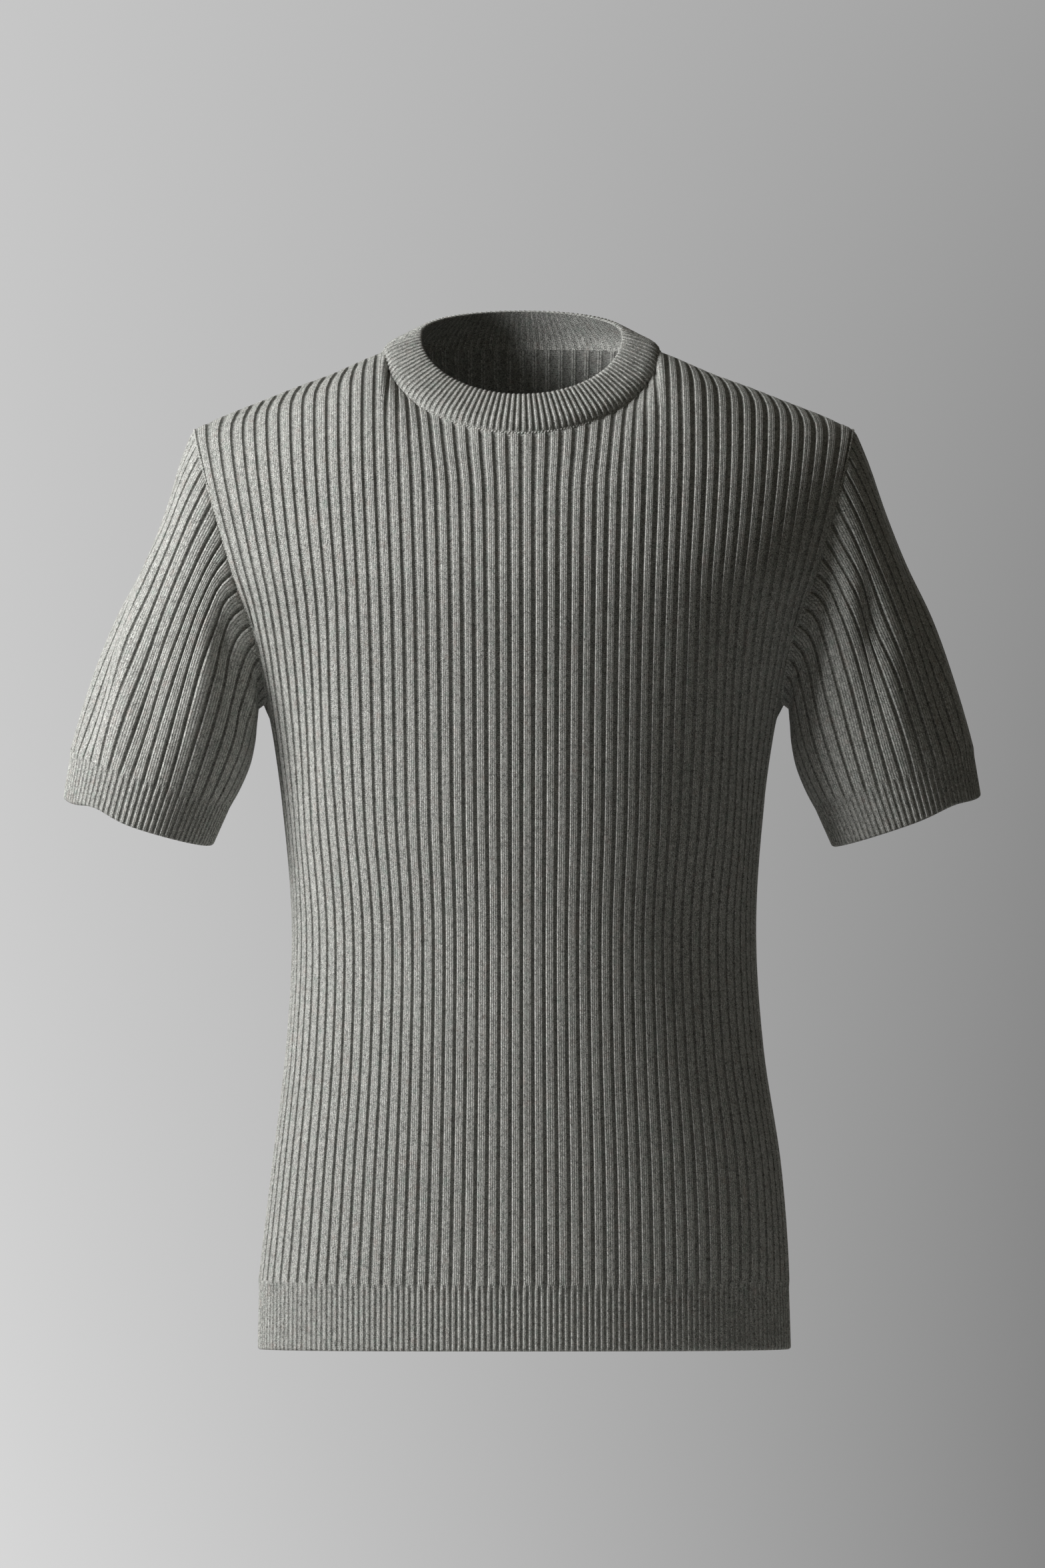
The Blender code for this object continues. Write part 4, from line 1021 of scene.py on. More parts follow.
@kept("materials")
def knit_material(name, wales, turned):
    """Cloth of one rib's stitch count, seen from its face or turned to its reverse."""
    colours = bpy.context.scene.knit_shirt.colours
    fuzz = {
        "Sheen Weight": colours.sheen, "Sheen Roughness": 0.45, "Sheen Tint": (*colours.light, 1.0),
    }
    material, graph, shader = new_material(name, {**MATT, **fuzz})
    knit = graph.node("ShaderNodeUVMap", uv_map="Knit").outputs[0]
    place = graph.node("ShaderNodeTexCoord").outputs["Object"]
    values = {"Knit": knit, "Wales": float(wales), "Turned": float(turned)}
    stitches = graph.group(knit_group("Knit Stitches"), values)
    spun = yarn(graph, knit, place, stitches["Chance"])
    # painted shade: the yarn's colour is mixed towards the between-stitches colour in the ditches
    # between the stitches' legs and over the whole purl wale in each groove, where shade falls
    depth = graph.math("MULTIPLY", graph.math("POWER", stitches["Ditch"], 1.5), 0.64)
    shade = graph.math("MAXIMUM", depth, graph.math("MULTIPLY", stitches["Purl"], 0.34))
    fibres = graph.bump(0.7, 0.08, spun["Fibre"])
    graph.fill(shader, {
        "Base Color": graph.mix(shade, spun["Color"], (*colours.deep, 1.0), "RGBA"),
        "Normal": graph.bump(1.0, 0.27, stitches["Height"], fibres),
    })
    return material


@kept("materials")
def yarn_material(name):
    """Yarn that isn't seen as stitches, for the chains along the seams."""
    material, graph, shader = new_material(name, MATT)
    place = graph.node("ShaderNodeTexCoord").outputs["Object"]
    spun = yarn(graph, graph.times(place, (400.0, 400.0, 400.0)), place)
    normal = graph.bump(0.8, 0.12, spun["Fibre"])
    graph.fill(shader, {"Base Color": spun["Color"], "Normal": normal})
    return material


# ---- the pieces' smooth walls and the seams they share ----------------------------------------
def finer_ends(places, first, last):
    """Places with two more rows in the first or the last stretch, for a rib that ends at a seam."""
    extra = []
    if first:
        extra += [places[0] + (places[1] - places[0]) * k for k in (0.25, 0.55)]
    if last:
        extra += [places[-1] - (places[-1] - places[-2]) * k for k in (0.25, 0.55)]
    return np.sort(np.concatenate([places, extra]))


def armhole_keys(side, control):
    """An armhole's points from the underarm round the front, and how the ribs share them."""
    end = by_side(side, 0, -1)
    front_edge, back_edge = (control[panel][LOW_ROWS:, end] for panel in (-1, 1))
    keys = np.vstack([front_edge, back_edge[-2:0:-1]])
    flat = side * keys[:, 0] * math.cos(SLEEVE_TILT) + keys[:, 2] * math.sin(SLEEVE_TILT)
    flat = np.stack([flat, keys[:, 1]], -1)
    steps = np.linalg.norm(np.roll(flat, -1, axis=0) - flat, axis=1)
    half = len(front_edge) - 1
    counts = [share_out(part, SLEEVE_RIBS) for part in (steps[:half], steps[half:])]
    return keys, np.concatenate([[0], np.cumsum(np.concatenate(counts))]), half


def calmed(wall):
    """A panel's wall with the run of its ribs evened about the underarm, its side edges kept."""
    near_arm = ease(CALM_END - np.abs(wall[:, :, 2] - CALM_LEVEL) / CALM_REACH)
    share = (near_arm * ease((1.0 - np.abs(BASE_ACROSS)) / CALM_EDGE))[1:-1, :, None]
    for _ in range(CALM_PASSES):
        even = (wall[:-2] + wall[2:]) / 2.0
        inner = wall[1:-1] + share * (even - wall[1:-1]) / 2.0
        wall = np.concatenate([wall[:1], inner, wall[-1:]])
    return wall


@cache
def body_walls():
    """The smooth walls of both panels, drawn to their armholes' curves."""
    control = {side: panel_rows(side, BASE_ACROSS) for side in (-1, 1)}
    places = finer_ends(row_places((control[-1] + control[1]) / 2.0, ROW_STEP), False, True)
    holes = {side: armhole_keys(side, control) for side in (-1, 1)}
    low = places <= LOW_ROWS
    walls, faces = {}, {}
    for side in (-1, 1):
        wall = along_rows(control[side], places)
        for end, hole in ((0, -1), (-1, 1)):
            keys, _, half = holes[hole]
            round_hole = places[~low] - LOW_ROWS
            if side > 0:
                round_hole = 2.0 * half - round_hole
            seam = np.concatenate([
                along_rows(control[side][: LOW_ROWS + 1, end], places[low]),
                along_rows(keys, round_hole, closed=True),
            ])
            pull = ease(1.0 - np.abs(BASE_ACROSS - BASE_ACROSS[end]) / EDGE_REACH)
            wall = wall + pull[None, :, None] * (seam - wall[:, end])[:, None]
        walls[side] = calmed(wall)
        faces[side] = normals(walls[side], False) * -side
    return {"places": places, "walls": walls, "faces": faces, "holes": holes}


@cache
def sleeve_wall(side):
    """A sleeve's smooth wall and what it shares with the panels along its armhole."""
    body = body_walls()
    keys, starts, half = body["holes"][side]
    ribs = (np.arange(SLEEVE_RIBS)[:, None] + wide_phases(SLEEVE_OPENING)).ravel()
    turn = ribs * 360.0 / SLEEVE_RIBS
    place = np.interp(2.0 * ribs, starts, np.arange(len(starts)))
    control = sleeve_rows(side, along_rows(keys, place, closed=True), turn)
    places = finer_ends(row_places(control, ROW_STEP), True, False)
    wall = along_rows(control, places)
    face = normals(wall, True)
    middle = wall.mean(axis=1, keepdims=True)
    face = face * np.sign(np.sum(face[4:] * (wall - middle)[4:]))
    own = face[0][starts[:-1] * (WIDE_PLACES // 2)]
    # the armhole's edge faces half way between the sleeve and the panels
    rows = np.abs(body["places"][:, None] - LOW_ROWS - np.arange(half + 1)).argmin(axis=0)
    end = by_side(side, 0, -1)
    front, back = (body["faces"][panel][rows, end] for panel in (-1, 1))
    panel = np.vstack([front, back[-2:0:-1]])
    panel[0] = unit(front[0] + back[0])
    shared = unit(panel + own)
    for number in (0, half):
        shared[number] = unit(shared[number] * NO_DEPTH)
    longer = 1.0 / np.clip(np.sum(shared * own, axis=-1, keepdims=True), MITRE, 1.0)
    return {
        "wall": wall, "face": face, "ribs": ribs, "place": place, "shared": shared * longer,
        "half": half,
    }


def seam_out(shared, place):
    """Which way a seam's edge stands out at places round it, as long as its mitre asks."""
    keys = np.arange(len(shared) + 1)
    ring = np.vstack([shared, shared[:1]])
    return np.stack([np.interp(place, keys, ring[:, part]) for part in range(3)], -1)


def panel_edges(side, end, places):
    """Which way a panel's side edge stands out, row by row."""
    body = body_walls()
    edge = unit((body["faces"][-1][:, end] + body["faces"][1][:, end]) * NO_DEPTH)
    hole = sleeve_wall(-1 if end == 0 else 1)
    above = places >= LOW_ROWS
    round_hole = places[above] - LOW_ROWS
    if side > 0:
        round_hole = (2.0 * hole["half"] - round_hole) % (2.0 * hole["half"])
    edge[above] = seam_out(hole["shared"], round_hole)
    return edge


def nearer(edge, inner):
    """A seam's edge moved towards the next row by half the space between two linked pieces."""
    return edge + unit(inner - edge) * SEAM_GAP / 2


def lined(closed, grid, face, out, cut, knit, spots, places, pattern, ridge, seams, back=None):
    """A piece's shell: its face and a coarser reverse on which the grooves' stitches stand out.

    cut holds the face's wide, fine, fineness and relief, spots are the points' places across,
    places those of its rows, pattern says which points of how many in a rib the reverse keeps, and
    seams which rows are linked. The reverse lies on back if it isn't the grid itself.
    """
    shell = Shell(closed)
    outside = shell.layer(grid, out, cut, knit, spots)
    per_rib, kept_ones = pattern
    columns = np.flatnonzero(np.isin(np.arange(grid.shape[1]) % per_rib, kept_ones))
    rows = np.unique(np.append(np.arange(0, len(grid), 2), len(grid) - 1))
    pick = np.ix_(rows, columns)
    proud = (ridge[columns] * REVERSE_RIDGE)[None, :, None]
    points = (grid if back is None else back)[pick] - face[pick] * proud
    wrapped = np.append(columns, knit.shape[1] - 1) if closed else columns
    across = spots[wrapped] if spots.ndim == 1 else spots[np.ix_(rows, wrapped)]
    knit = knit[np.ix_(rows, wrapped)]
    inside = shell.layer(points, 0.0 * points, (0.0, 0.0, 0.0, 1.0), knit, across)
    shell.wall(outside, inside, places, places[rows], seams)
    return shell


def shoulder_lean(across, below):
    """How many ribs' width the ribs lean to the neck at a distance below the shoulder seam."""
    share = (across - NECK_U) / (1.0 - NECK_U)
    lean = LEAN * ease(share / LEAN_IN) * ease((1.0 - share) / LEAN_OUT)
    return lean * np.exp(-((below / LEAN_REACH) ** 1.5))


def panel_shell(side):
    """One body panel's shell."""
    body = body_walls()
    places, base, base_face = body["places"], body["walls"][side], body["faces"][side]
    share = table_value(OPENING, base[:, len(BASE_ACROSS) // 2, 2])
    ribs = np.arange(PANEL_RIBS)[None, :, None] + wide_phases(share)[:, None, :]
    ribs = ribs.reshape(len(places), -1)
    ribs = np.hstack([ribs, np.full((len(places), 1), float(PANEL_RIBS))])
    across = ribs / PANEL_RIBS * 2.0 - 1.0
    run = resample(run_down(base)[..., None], BASE_ACROSS, across)[..., 0]
    lean = shoulder_lean(np.abs(across), run[-1] - run)
    across = across - np.sign(across) * lean * 2.0 / PANEL_RIBS
    grid = resample(base, BASE_ACROSS, across)
    face = unit(resample(base_face, BASE_ACROSS, across))
    knit = np.stack([stitch_places(ribs, share[:, None], WALES["Wide"]), run / COURSE], -1)
    below = ease((run[-1] - run) / SHADE_IN)
    beside = ease((1.0 - np.abs(across)) * PANEL_RIBS * 2.0)
    # the top edge: the neckline's own slant, and the shoulder seam's between both panels
    top = across[-1]
    neck = neckline_normals(side, neck_angle(top), np.where(top < 0, -1.0, 1.0))
    both = body["faces"][-1][-1:] + body["faces"][1][-1:]
    shoulder = unit(resample(both, BASE_ACROSS, top)[0] * NO_DEPTH)
    top = np.where((np.abs(top) <= NECK_U)[:, None], neck * (NECK_WALL / SEAM), shoulder)
    out = top[None] * (1.0 - below[..., None]) + face * below[..., None]
    for end, half in ((0, across < 0), (-1, across >= 0)):
        edge = panel_edges(side, end, places)
        weight = np.where(half, 1.0 - beside, 0.0)[..., None]
        out = out * (1.0 - weight) + edge[:, None] * weight
    out[0] = unit(out[0] * NO_RISE)
    grid[:, 0] = nearer(grid[:, 0], grid[:, 1])
    grid[:, -1] = nearer(grid[:, -1], grid[:, -2])
    grid[-1] = nearer(grid[-1], grid[-2])
    grid[0, :, 2] += SEAM_GAP / 2
    wide = np.append(np.tile(np.arange(WIDE_PLACES) / WIDE_PLACES, PANEL_RIBS), 0.0)
    ridge = (wide == 0.0).astype(float)
    ridge[[0, -1]] = 0.0
    cut, pattern = (wide, 0.0, 0.0, below * beside), (WIDE_PLACES, WIDE_REVERSE)
    return lined(False, grid, face, out, cut, knit, across, places, pattern, ridge, (0, -1))


def sleeve_shell(side):
    """One sleeve's shell."""
    sleeve = sleeve_wall(side)
    grid, face, ribs = sleeve["wall"].copy(), sleeve["face"], sleeve["ribs"]
    run = run_down(grid)
    above = ease(run / SHADE_IN)[..., None]
    out = seam_out(sleeve["shared"], sleeve["place"])[None] * (1.0 - above) + face * above
    square = cuff_normal(side)
    out[-1] = unit(out[-1] - square * np.sum(out[-1] * square, axis=-1, keepdims=True))
    grid[0] = nearer(grid[0], grid[1])
    grid[-1] += square * SEAM_GAP / 2
    spots = np.append(ribs, SLEEVE_RIBS)
    height = (run[-1] - run) / COURSE
    height = np.hstack([height, height[:, :1]])
    stitch = stitch_places(spots, SLEEVE_OPENING, WALES["Wide"])
    knit = np.stack([np.broadcast_to(stitch, height.shape), height], -1)
    wide = np.tile(np.arange(WIDE_PLACES) / WIDE_PLACES, SLEEVE_RIBS)
    ridge = (wide == 0.0).astype(float)
    cut, pattern = (wide, 0.0, 0.0, above[..., 0]), (WIDE_PLACES, WIDE_REVERSE)
    return lined(True, grid, face, out, cut, knit, spots, run[:, 0], pattern, ridge, (0, -1))


def fine_places(ribs, ends=()):
    """Places of the points across fine ribs, and where they lie in the fine and wide cuts."""
    places = np.append((np.arange(ribs)[:, None] + np.array(FINE_PHASES)).ravel(), ends)
    fine = np.arange(len(places)) % FINE_PLACES / FINE_PLACES
    phases = np.append(wide_phases(table_value(OPENING, BODY[0][0])), 1.0)
    cuts = np.arange(WIDE_PLACES + 1) / WIDE_PLACES
    return places, fine, np.interp(np.modf(places / 2.0)[0], phases, cuts)


def edge_rows(length, step):
    """Distances down a band to its free edge, with closer rows where the edge rounds."""
    steps = np.linspace(0.0, length - RIM[-1], max(2, round(length / step)))
    return np.concatenate([[0.0, BAND_FIRST], steps[1:], [length - d for d in RIM[-2::-1]]])


def between(first, last, down):
    """A grid straight between two rows of points, at distances down it."""
    return first + (last - first) * (down / down[-1])[:, None, None]


def hem_shell(side):
    """A hem band's shell."""
    ribs = 2 * PANEL_RIBS
    cut = fine_places(ribs, [ribs])
    across = cut[0] / ribs * 2.0 - 1.0
    ends = []
    for number, (level, left, right, front, back) in enumerate((BODY[0][:5], HEM_EDGE)):
        x, y, z = body_row(side, across, left, right, by_side(side, front, back), 90.0, level)
        rise = number * HEM_RISE * (1.0 - across**2)
        ends.append(np.stack([np.sign(across) * x, y, z + rise], -1))
    down = edge_rows(BODY[0][0] - HEM_EDGE[0] - HEM_RISE * HEM_MEAN, BAND_STEP)
    grid = between(*ends, down)
    face = normals(grid[::-1], False)[::-1] * -side
    face[:, 0], face[:, -1] = (-1.0, 0.0, 0.0), (1.0, 0.0, 0.0)
    out = unit(face * NO_RISE)
    grid[0, :, 2] -= SEAM_GAP / 2
    beside = ease((1.0 - np.abs(across)) * ribs * 2.0)[None]
    grid[:, [0, -1], 1] += side * SEAM_GAP / 2
    return finish_band(grid, face, out, down, cut, False, BAND_GROWS, beside)


def cuff_shell(side):
    """A cuff band's shell."""
    cut = fine_places(2 * SLEEVE_RIBS)
    turn = cut[0] * 180.0 / SLEEVE_RIBS
    seam, mouth = (sleeve_ring(side, ring, turn) for ring in (CUFF_SEAM, CUFF_EDGE))
    place, reach, lift = CUFF_WAVE[side]
    mouth[:, 2] += lift * np.exp(-(((turn - place) / reach) ** 2))
    down = edge_rows(np.linalg.norm(mouth - seam, axis=1).mean(), BAND_STEP)
    grid = between(seam, mouth, down)
    face = normals(grid, True)
    face = face * np.sign(np.sum(face * (grid - grid.mean(axis=1, keepdims=True))))
    square = cuff_normal(side)
    out = unit(face - square * np.sum(face * square, axis=-1, keepdims=True))
    grid[0] -= square * SEAM_GAP / 2
    return finish_band(grid, face, out, down, cut, True, BAND_GROWS, 1.0)


def neck_ring(shares):
    """The neckline's seam, the collar's free edge and the seam's normals at shares of the way
    round, and the seam's length."""
    count = NECK_SAMPLES
    spots = np.linspace(-NECK_U, NECK_U, count)
    line = []
    for side, way in ((-1, spots), (1, spots[::-1])):
        half = neckline(side, neck_angle(way))
        half[:, 0] *= np.sign(way)
        line.append(half)
    run = np.linalg.norm(np.diff(np.vstack(line), axis=0), axis=1)
    run = np.concatenate([[0.0], np.cumsum(run)])
    at = np.interp(shares * run[-1], run, np.arange(2 * count))
    front = at <= count - 0.5
    across = np.interp(at - count, np.arange(count), spots[::-1])
    across = np.where(front, np.interp(at, np.arange(count), spots), across)
    sign, angle = np.where(across < 0, -1.0, 1.0), neck_angle(across)
    ring = []
    for made in (neckline, free_edge):
        points = np.where(front[:, None], made(-1, angle), made(1, angle))
        points[:, 0] *= sign
        ring.append(points)
    facing = (neckline_normals(side, angle, sign) for side in (-1, 1))
    return *ring, np.where(front[:, None], *facing), run[-1]


def rounded(ring, reach):
    """Points or directions round a closed seam, evened over a reach of columns to both sides."""
    steps = np.arange(-reach, reach + 1)
    weights = np.exp(-2.0 * (steps / reach) ** 2)
    return sum(w * np.roll(ring, k, axis=0) for w, k in zip(weights, steps)) / weights.sum()


def collar_shell():
    """The collar's shell, from the neckline's seam to its free edge."""
    cut = fine_places(COLLAR_RIBS)
    seam, edge, shared, _ = neck_ring(cut[0] / COLLAR_RIBS)
    edge = rounded(edge, COLLAR_CORNER)
    along = np.roll(seam, -1, axis=0) - np.roll(seam, 1, axis=0)
    away = unit(np.cross(along, unit(edge - seam)))
    away *= np.sign(np.sum(away * (seam - np.array(COLLAR_MIDDLE)), axis=1, keepdims=True))
    away = unit(rounded(away, COLLAR_CORNER))
    rolls = zip(COLLAR_ROWS, COLLAR_ROLL)
    control = np.stack([seam + (edge - seam) * t + away * roll for t, roll in rolls])
    length = run_down(control)[-1].mean()
    down = edge_rows(length, COLLAR_STEP)
    places = np.interp(down / length, COLLAR_ROWS, np.arange(len(COLLAR_ROWS)))
    grid = along_rows(control, places)
    face = normals(grid, True)
    face = face * np.sign(np.sum(face[:, :, 2]))
    above = ease(down / SHADE_IN)[:, None]
    out = shared[None] * (NECK_WALL / SEAM) * (1.0 - above[..., None]) + face * above[..., None]
    grid[0] = nearer(grid[0], grid[1])
    return finish_band(grid, face, out, down, cut, True, 0.0, above)


def finish_band(grid, face, out, down, cut, closed, grows, relief):
    """A fine rib band's shell: wide ribs at its seam that turn fine, and a rounded free edge."""
    places, fine, wide = cut
    wall = np.interp(down[-1] - down, RIM, RIM_WALL)[:, None, None]
    out = out * wall
    fineness = ease(down / grows)[:, None] if grows else 1.0
    spots = np.append(places, len(places) // FINE_PLACES) if closed else places
    stitch = stitch_places(spots, FINE_GROOVE, WALES["Fine"])
    height = np.broadcast_to((-down / COURSE)[:, None], (len(down), len(stitch)))
    knit = np.stack([np.broadcast_to(stitch, height.shape), height], -1)
    ridge = (fine == 0.0).astype(float) * FINE_RIDGE
    lifted = grid + out * (1.0 - wall) * RIM_LIFT
    cut, pattern = (wide, fine, fineness, relief), (FINE_PLACES, FINE_REVERSE)
    return lined(closed, grid, face, out, cut, knit, spots, down, pattern, ridge, (0,), lifted)


# ---- sizes and colours that a maker may change ------------------------------------------------
def number(name, text, value, **more):
    """A number with its name, what it is and its first value."""
    return FloatProperty(name=name, description=text, default=value, **more)


def length(name, text, value):
    """A length in millimetres, shown in the scene's unit."""
    return number(name, text, value * MM, min=0.0, precision=5, unit="LENGTH")


def colour(name, text, value):
    """A linear colour."""
    return FloatVectorProperty(
        name=name, description=text, default=value, size=3, min=0.0, max=1.0, subtype="COLOR"
    )


class KnitSizes(PropertyGroup):
    """Thickness of the knit where its ribs sink and stand."""

    groove: length("Panel groove", "Wall thickness in the wide ribs' grooves", 1.2)
    crest: length("Panel crest", "Wall thickness on the wide ribs' crests", 2.8)
    band_groove: length("Band groove", "Wall thickness in the grooves of hem and cuff bands", 1.2)
    band_crest: length("Band crest", "Wall thickness on the crests of hem and cuff bands", 2.3)
    collar_groove: length("Collar groove", "Wall thickness in the collar's grooves", 1.5)
    collar_crest: length("Collar crest", "Wall thickness on the collar's crests", 2.8)
    seam: length("Seam", "Wall thickness where two pieces are linked", SEAM)


class YarnColours(PropertyGroup):
    """Fibres that are spun together in the heathered yarn, and the colour of the painted shade
    between its stitches.
    """

    dark: colour("Dark fibre", "Charcoal fibres", (0.10, 0.102, 0.092))
    light: colour("Light fibre", "Pale grey fibres", (0.94, 0.945, 0.90))
    warm: colour("Warm fibre", "The few fibres of a warm tint", (0.52, 0.40, 0.36))
    cool: colour("Cool fibre", "The few fibres of a green tint", (0.36, 0.48, 0.42))
    # painted shade: the dark colour that the knit's face is mixed towards between the stitches'
    # legs and in the purl grooves
    deep: colour("Between stitches", "Yarn deep between the stitches", (0.045, 0.046, 0.041))
    sheen: number(
        "Fuzz", "How much light the yarn's fuzz catches", 0.12, min=0.0, max=1.0, subtype="FACTOR"
    )


class StudioSizes(PropertyGroup):
    """The floor, the backdrop and the lights."""

    floor: number("Floor level", "Height of the floor", -1.1, precision=5, unit="LENGTH")
    key: number("Key light", "Power of the large soft light", 61.0, min=0.0, unit="POWER")
    back: number("Back light", "Power of the soft light behind", 60.0, min=0.0, unit="POWER")
    fill: number("Room light", "Strength of the light from all round", 0.048, min=0.0)
    backdrop: colour("Backdrop", "Grey of the backdrop's middle", (0.43, 0.43, 0.43))


class KnitShirt(PropertyGroup):
    """All that may be changed."""

    sizes: PointerProperty(type=KnitSizes, name="Sizes", description="Thickness of the knit")
    colours: PointerProperty(type=YarnColours, name="Colours", description="Colours of the yarn")
    studio: PointerProperty(type=StudioSizes, name="Studio", description="Floor and lights")


# ---- the pieces -------------------------------------------------------------------------------
def dress(name, shell, cloth, flat, held, area):
    """Raises a shell's ribs, gives it its cloth and puts it in its solid's place."""
    sizes = bpy.context.scene.knit_shirt.sizes
    band = "collar" if name == "collar" else "band"
    piece = shell.make(f"{name}_knit")
    settle(piece, rib_tree("Raise Ribs"), {
        "Groove": sizes.groove,
        "Crest": sizes.crest,
        "Seam": sizes.seam,
        "Fine Groove": getattr(sizes, f"{band}_groove"),
        "Fine Crest": getattr(sizes, f"{band}_crest"),
        "Face": knit_material(f"{cloth} Rib Face", WALES[cloth], 0),
        "Reverse": knit_material(f"{cloth} Rib Reverse", WALES[cloth], 1),
    })
    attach(piece, "root")
    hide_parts(name)


def chain(name, points, out, stitch, lean):
    """A closed seam's chain of stitches on top of the seam."""
    way = unit(np.roll(points, -1, axis=0) - np.roll(points, 1, axis=0))
    mesh = bpy.data.meshes.new(name)
    mesh.from_pydata((points * MM).tolist(), [], [])
    keep(mesh, "way", "FLOAT_VECTOR", "POINT", way)
    keep(mesh, "out", "FLOAT_VECTOR", "POINT", unit(out))
    piece = placed(name, mesh)
    sizes = {label: value * MM for label, value in zip(("Length", "Width", "Height"), stitch)}
    values = {**sizes, "Lean": lean, "Uneven": UNEVEN, "Yarn": yarn_material("Chain Yarn")}
    settle(piece, chain_tree("Seam Chain"), values)
    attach(piece, "root")


class KNIT_OT_panels(Operator):
    """Knit the front and the back panel"""

    bl_idname = "knit.panels"
    bl_label = "Body Panels"

    def execute(self, context):
        for name, side in (("front", -1), ("back", 1)):
            dress(name, panel_shell(side), "Wide", *PANEL_SHEET)
        return {"FINISHED"}


class KNIT_OT_hems(Operator):
    """Knit the fine rib bands at the foot of both panels"""

    bl_idname = "knit.hems"
    bl_label = "Hem Bands"

    def execute(self, context):
        for name, side in (("hem_front", -1), ("hem_back", 1)):
            dress(name, hem_shell(side), "Fine", *HEM_SHEET)
        return {"FINISHED"}


class KNIT_OT_sleeves(Operator):
    """Knit both sleeves and link them into their armholes"""

    bl_idname = "knit.sleeves"
    bl_label = "Sleeves"

    def execute(self, context):
        for name, side in (("sleeve_left", -1), ("sleeve_right", 1)):
            dress(name, sleeve_shell(side), "Wide", *SLEEVE_SHEET)
            keys = body_walls()["holes"][side][0]
            spots = np.linspace(0.0, len(keys), HOLE_SAMPLES)
            run = run_down(along_rows(keys, spots, closed=True)[:, None])[:, 0]
            at = np.interp(np.arange(0.0, run[-1], LINK_STEP), run, spots)
            out = seam_out(sleeve_wall(side)["shared"], at)
            points = along_rows(keys, at, closed=True) + out * (SEAM - ARMHOLE_SUNK)
            chain(f"{name}_linking", points, out, ARMHOLE_CHAIN, ARMHOLE_LEAN * side)
        return {"FINISHED"}


class KNIT_OT_cuffs(Operator):
    """Knit the fine rib bands at the sleeves' mouths"""

    bl_idname = "knit.cuffs"
    bl_label = "Cuff Bands"

    def execute(self, context):
        for name, side in (("cuff_left", -1), ("cuff_right", 1)):
            dress(name, cuff_shell(side), "Fine", *CUFF_SHEET)
        return {"FINISHED"}


class KNIT_OT_collar(Operator):
    """Knit the fine rib band round the neck and link it on"""

    bl_idname = "knit.collar"
    bl_label = "Collar"

    def execute(self, context):
        dress("collar", collar_shell(), "Fine", *COLLAR_SHEET)
        total = neck_ring(np.zeros(1))[3]
        seam, _, out, _ = neck_ring(np.arange(0.0, 1.0, LINK_STEP / total))
        points = seam + out * (NECK_WALL - COLLAR_SUNK)
        chain("collar_linking", points, out, COLLAR_CHAIN, COLLAR_LEAN)
        return {"FINISHED"}


# ---- the studio -------------------------------------------------------------------------------
# places and sizes in metres from here on, the lens and its sensor in millimetres
EYE = (0.0005, -8.0, -0.2916)
LENS, SENSOR, NEAR, FAR = 272.1, 36.0, 0.05, 60.0
KEY_FROM, KEY_SIZE = (-1.85, -0.75, 0.62), (0.95, 1.25)
BACK_FROM, BACK_SIZE = (0.5, 3.4, 0.7), (1.6, 2.0)
LIT = (0.0, 0.0, -0.3)                 # what the lights are turned to
VIEW_ASIDE, VIEW_HIGH = 0.044, 0.066   # the view's reach aside and up for each metre ahead
# how the backdrop's grey changes: to the side, towards the corners, and up and down
FALL_ASIDE, FALL_CORNER, RISE_HIGH = -0.38, 0.128, 0.068
ROOM_COLOUR, ROOM_ABOVE = (1.0, 0.94, 0.80, 1.0), 0.8      # the room's light, its gain from above
FLOOR_REACH, FLOOR_MELTS = 1.5, 0.55   # the floor's radius, and the share of it that is solid
FLOOR_RINGS, FLOOR_SPOKES = 12, 96
FLOOR_PALE, FLOOR_PALER = (0.52, 0.52, 0.515, 1.0), (0.58, 0.58, 0.575, 1.0)


def backdrop_world(studio):
    """A grey backdrop that the camera alone sees, lighter at the light's side, and a dim room."""
    world = bpy.data.worlds.new("Studio")
    world.use_nodes = True
    bpy.context.scene.world = world
    graph = Graph(world.node_tree)
    world.node_tree.nodes.clear()
    way = graph.node("ShaderNodeTexCoord").outputs["Generated"]
    way = graph.node("ShaderNodeSeparateXYZ", way).outputs
    aside = graph.spread(way[0], -VIEW_ASIDE, VIEW_ASIDE, -1.0, 1.0)
    high = graph.spread(way[2], -VIEW_HIGH, VIEW_HIGH, -1.0, 1.0)
    tone = graph.math("MULTIPLY_ADD", aside, FALL_ASIDE, 1.0)
    tone = graph.math("MULTIPLY_ADD", graph.math("MULTIPLY", high, aside), FALL_CORNER, tone)
    tone = graph.math("MULTIPLY_ADD", graph.math("MULTIPLY", high, high), RISE_HIGH, tone)
    seen = graph.scaled(tuple(studio.backdrop), tone)
    wall = graph.node("ShaderNodeBackground", seen, 1.0)
    above = graph.math("MULTIPLY_ADD", way[2], ROOM_ABOVE * studio.fill, studio.fill)
    room = graph.node("ShaderNodeBackground", ROOM_COLOUR, above)
    eye = graph.node("ShaderNodeLightPath").outputs["Is Camera Ray"]
    both = graph.node("ShaderNodeMixShader", eye, room.outputs[0], wall.outputs[0])
    graph.node("ShaderNodeOutputWorld", both.outputs[0])


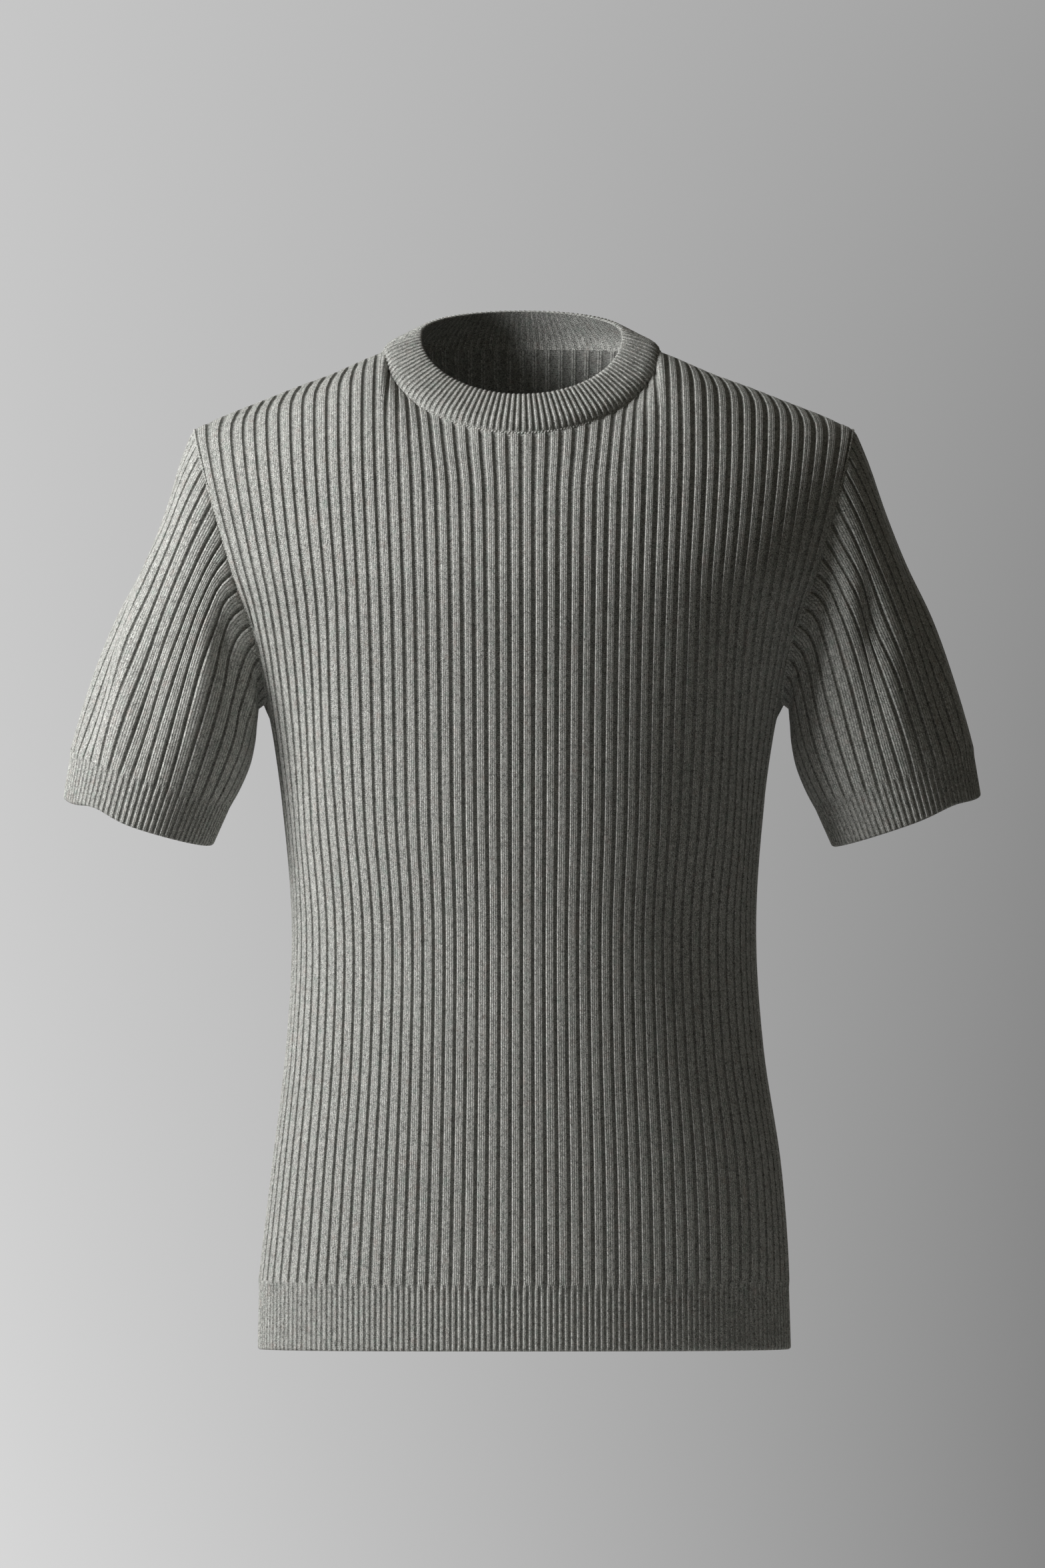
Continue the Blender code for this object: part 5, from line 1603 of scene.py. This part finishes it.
def floor_disc(level):
    """A round pale floor whose edge melts into the backdrop."""
    points, faces = [(0.0, 0.0, level)], []
    for ring in range(1, FLOOR_RINGS + 1):
        radius = FLOOR_REACH * ring / FLOOR_RINGS
        for spoke in range(FLOOR_SPOKES):
            angle = 2.0 * math.pi * spoke / FLOOR_SPOKES
            points.append((radius * math.cos(angle), radius * math.sin(angle), level))
    for spoke in range(FLOOR_SPOKES):
        after = (spoke + 1) % FLOOR_SPOKES
        faces.append((0, 1 + spoke, 1 + after))
        for low in range(1, len(points) - FLOOR_SPOKES, FLOOR_SPOKES):
            high = low + FLOOR_SPOKES
            faces.append((low + spoke, high + spoke, high + after, low + after))
    mesh = bpy.data.meshes.new("floor")
    mesh.from_pydata(points, [], faces)
    disc = placed("floor", mesh)
    material, graph, shader = new_material("Pale Floor", {"Roughness": 0.8})
    place = graph.node("ShaderNodeTexCoord").outputs["Object"]
    out = graph.times(place, (1.0, 1.0, 0.0))
    out = graph.node("ShaderNodeVectorMath", out, operation="LENGTH").outputs["Value"]
    graph.fill(shader, {
        "Base Color": graph.mix(graph.noise(place, 9.0, 4.0, 0.6), FLOOR_PALE, FLOOR_PALER, "RGBA"),
        "Alpha": graph.spread(out, FLOOR_REACH, FLOOR_REACH * FLOOR_MELTS, 0.0, 1.0),
    })
    mesh.materials.append(material)


def soft_light(name, place, size, power):
    """A rectangular soft light that is turned to the shirt."""
    lamp = bpy.data.lights.new(name, "AREA")
    lamp.shape, lamp.size, lamp.size_y, lamp.energy = "RECTANGLE", size[0], size[1], power
    light = placed(name, lamp)
    light.location = place
    way = Vector(LIT) - light.location
    light.rotation_euler = way.to_track_quat("-Z", "Y").to_euler()


class KNIT_OT_studio(Operator):
    """Set up the floor, the backdrop, the light and the camera"""

    bl_idname = "knit.studio"
    bl_label = "Studio"

    def execute(self, context):
        studio = context.scene.knit_shirt.studio
        backdrop_world(studio)
        floor_disc(studio.floor)
        soft_light("Key", KEY_FROM, KEY_SIZE, studio.key)
        soft_light("Back", BACK_FROM, BACK_SIZE, studio.back)
        eye = bpy.data.cameras.new("Camera")
        eye.lens, eye.sensor_width, eye.clip_start, eye.clip_end = LENS, SENSOR, NEAR, FAR
        camera = placed("Camera", eye)
        camera.location = EYE
        camera.rotation_euler = (math.pi / 2.0, 0.0, 0.0)
        context.scene.camera = camera
        context.scene.view_settings.view_transform = "Standard"
        return {"FINISHED"}


class KNIT_PT_shirt(Panel):
    """The t-shirt's pieces in the order in which they are made"""

    bl_label = "Rib Knit T-Shirt"
    bl_idname = "KNIT_PT_shirt"
    bl_space_type = "VIEW_3D"
    bl_region_type = "UI"
    bl_category = "Knit"

    def draw(self, context):
        shirt = context.scene.knit_shirt
        for group in (shirt.sizes, shirt.colours, shirt.studio):
            box = self.layout.box()
            for name in group.__annotations__:
                box.prop(group, name)
        for operator in OPERATORS:
            self.layout.operator(operator.bl_idname)


OPERATORS = (
    KNIT_OT_studio, KNIT_OT_panels, KNIT_OT_hems, KNIT_OT_sleeves, KNIT_OT_cuffs, KNIT_OT_collar,
)
CLASSES = (KnitSizes, YarnColours, StudioSizes, KnitShirt, *OPERATORS, KNIT_PT_shirt)


def register():
    """Makes the classes known and adds their settings to the scene."""
    for each in CLASSES:
        bpy.utils.register_class(each)
    bpy.types.Scene.knit_shirt = PointerProperty(
        type=KnitShirt, name="Knit shirt", description="The t-shirt's sizes and colours"
    )


def unregister():
    """Takes the settings and the classes away."""
    del bpy.types.Scene.knit_shirt
    for each in reversed(CLASSES):
        bpy.utils.unregister_class(each)


def main():
    """Makes the studio and every piece."""
    register()
    bpy.ops.knit.studio()
    bpy.ops.knit.panels()
    bpy.ops.knit.hems()
    bpy.ops.knit.sleeves()
    bpy.ops.knit.cuffs()
    bpy.ops.knit.collar()


if __name__ == "__main__":
    main()
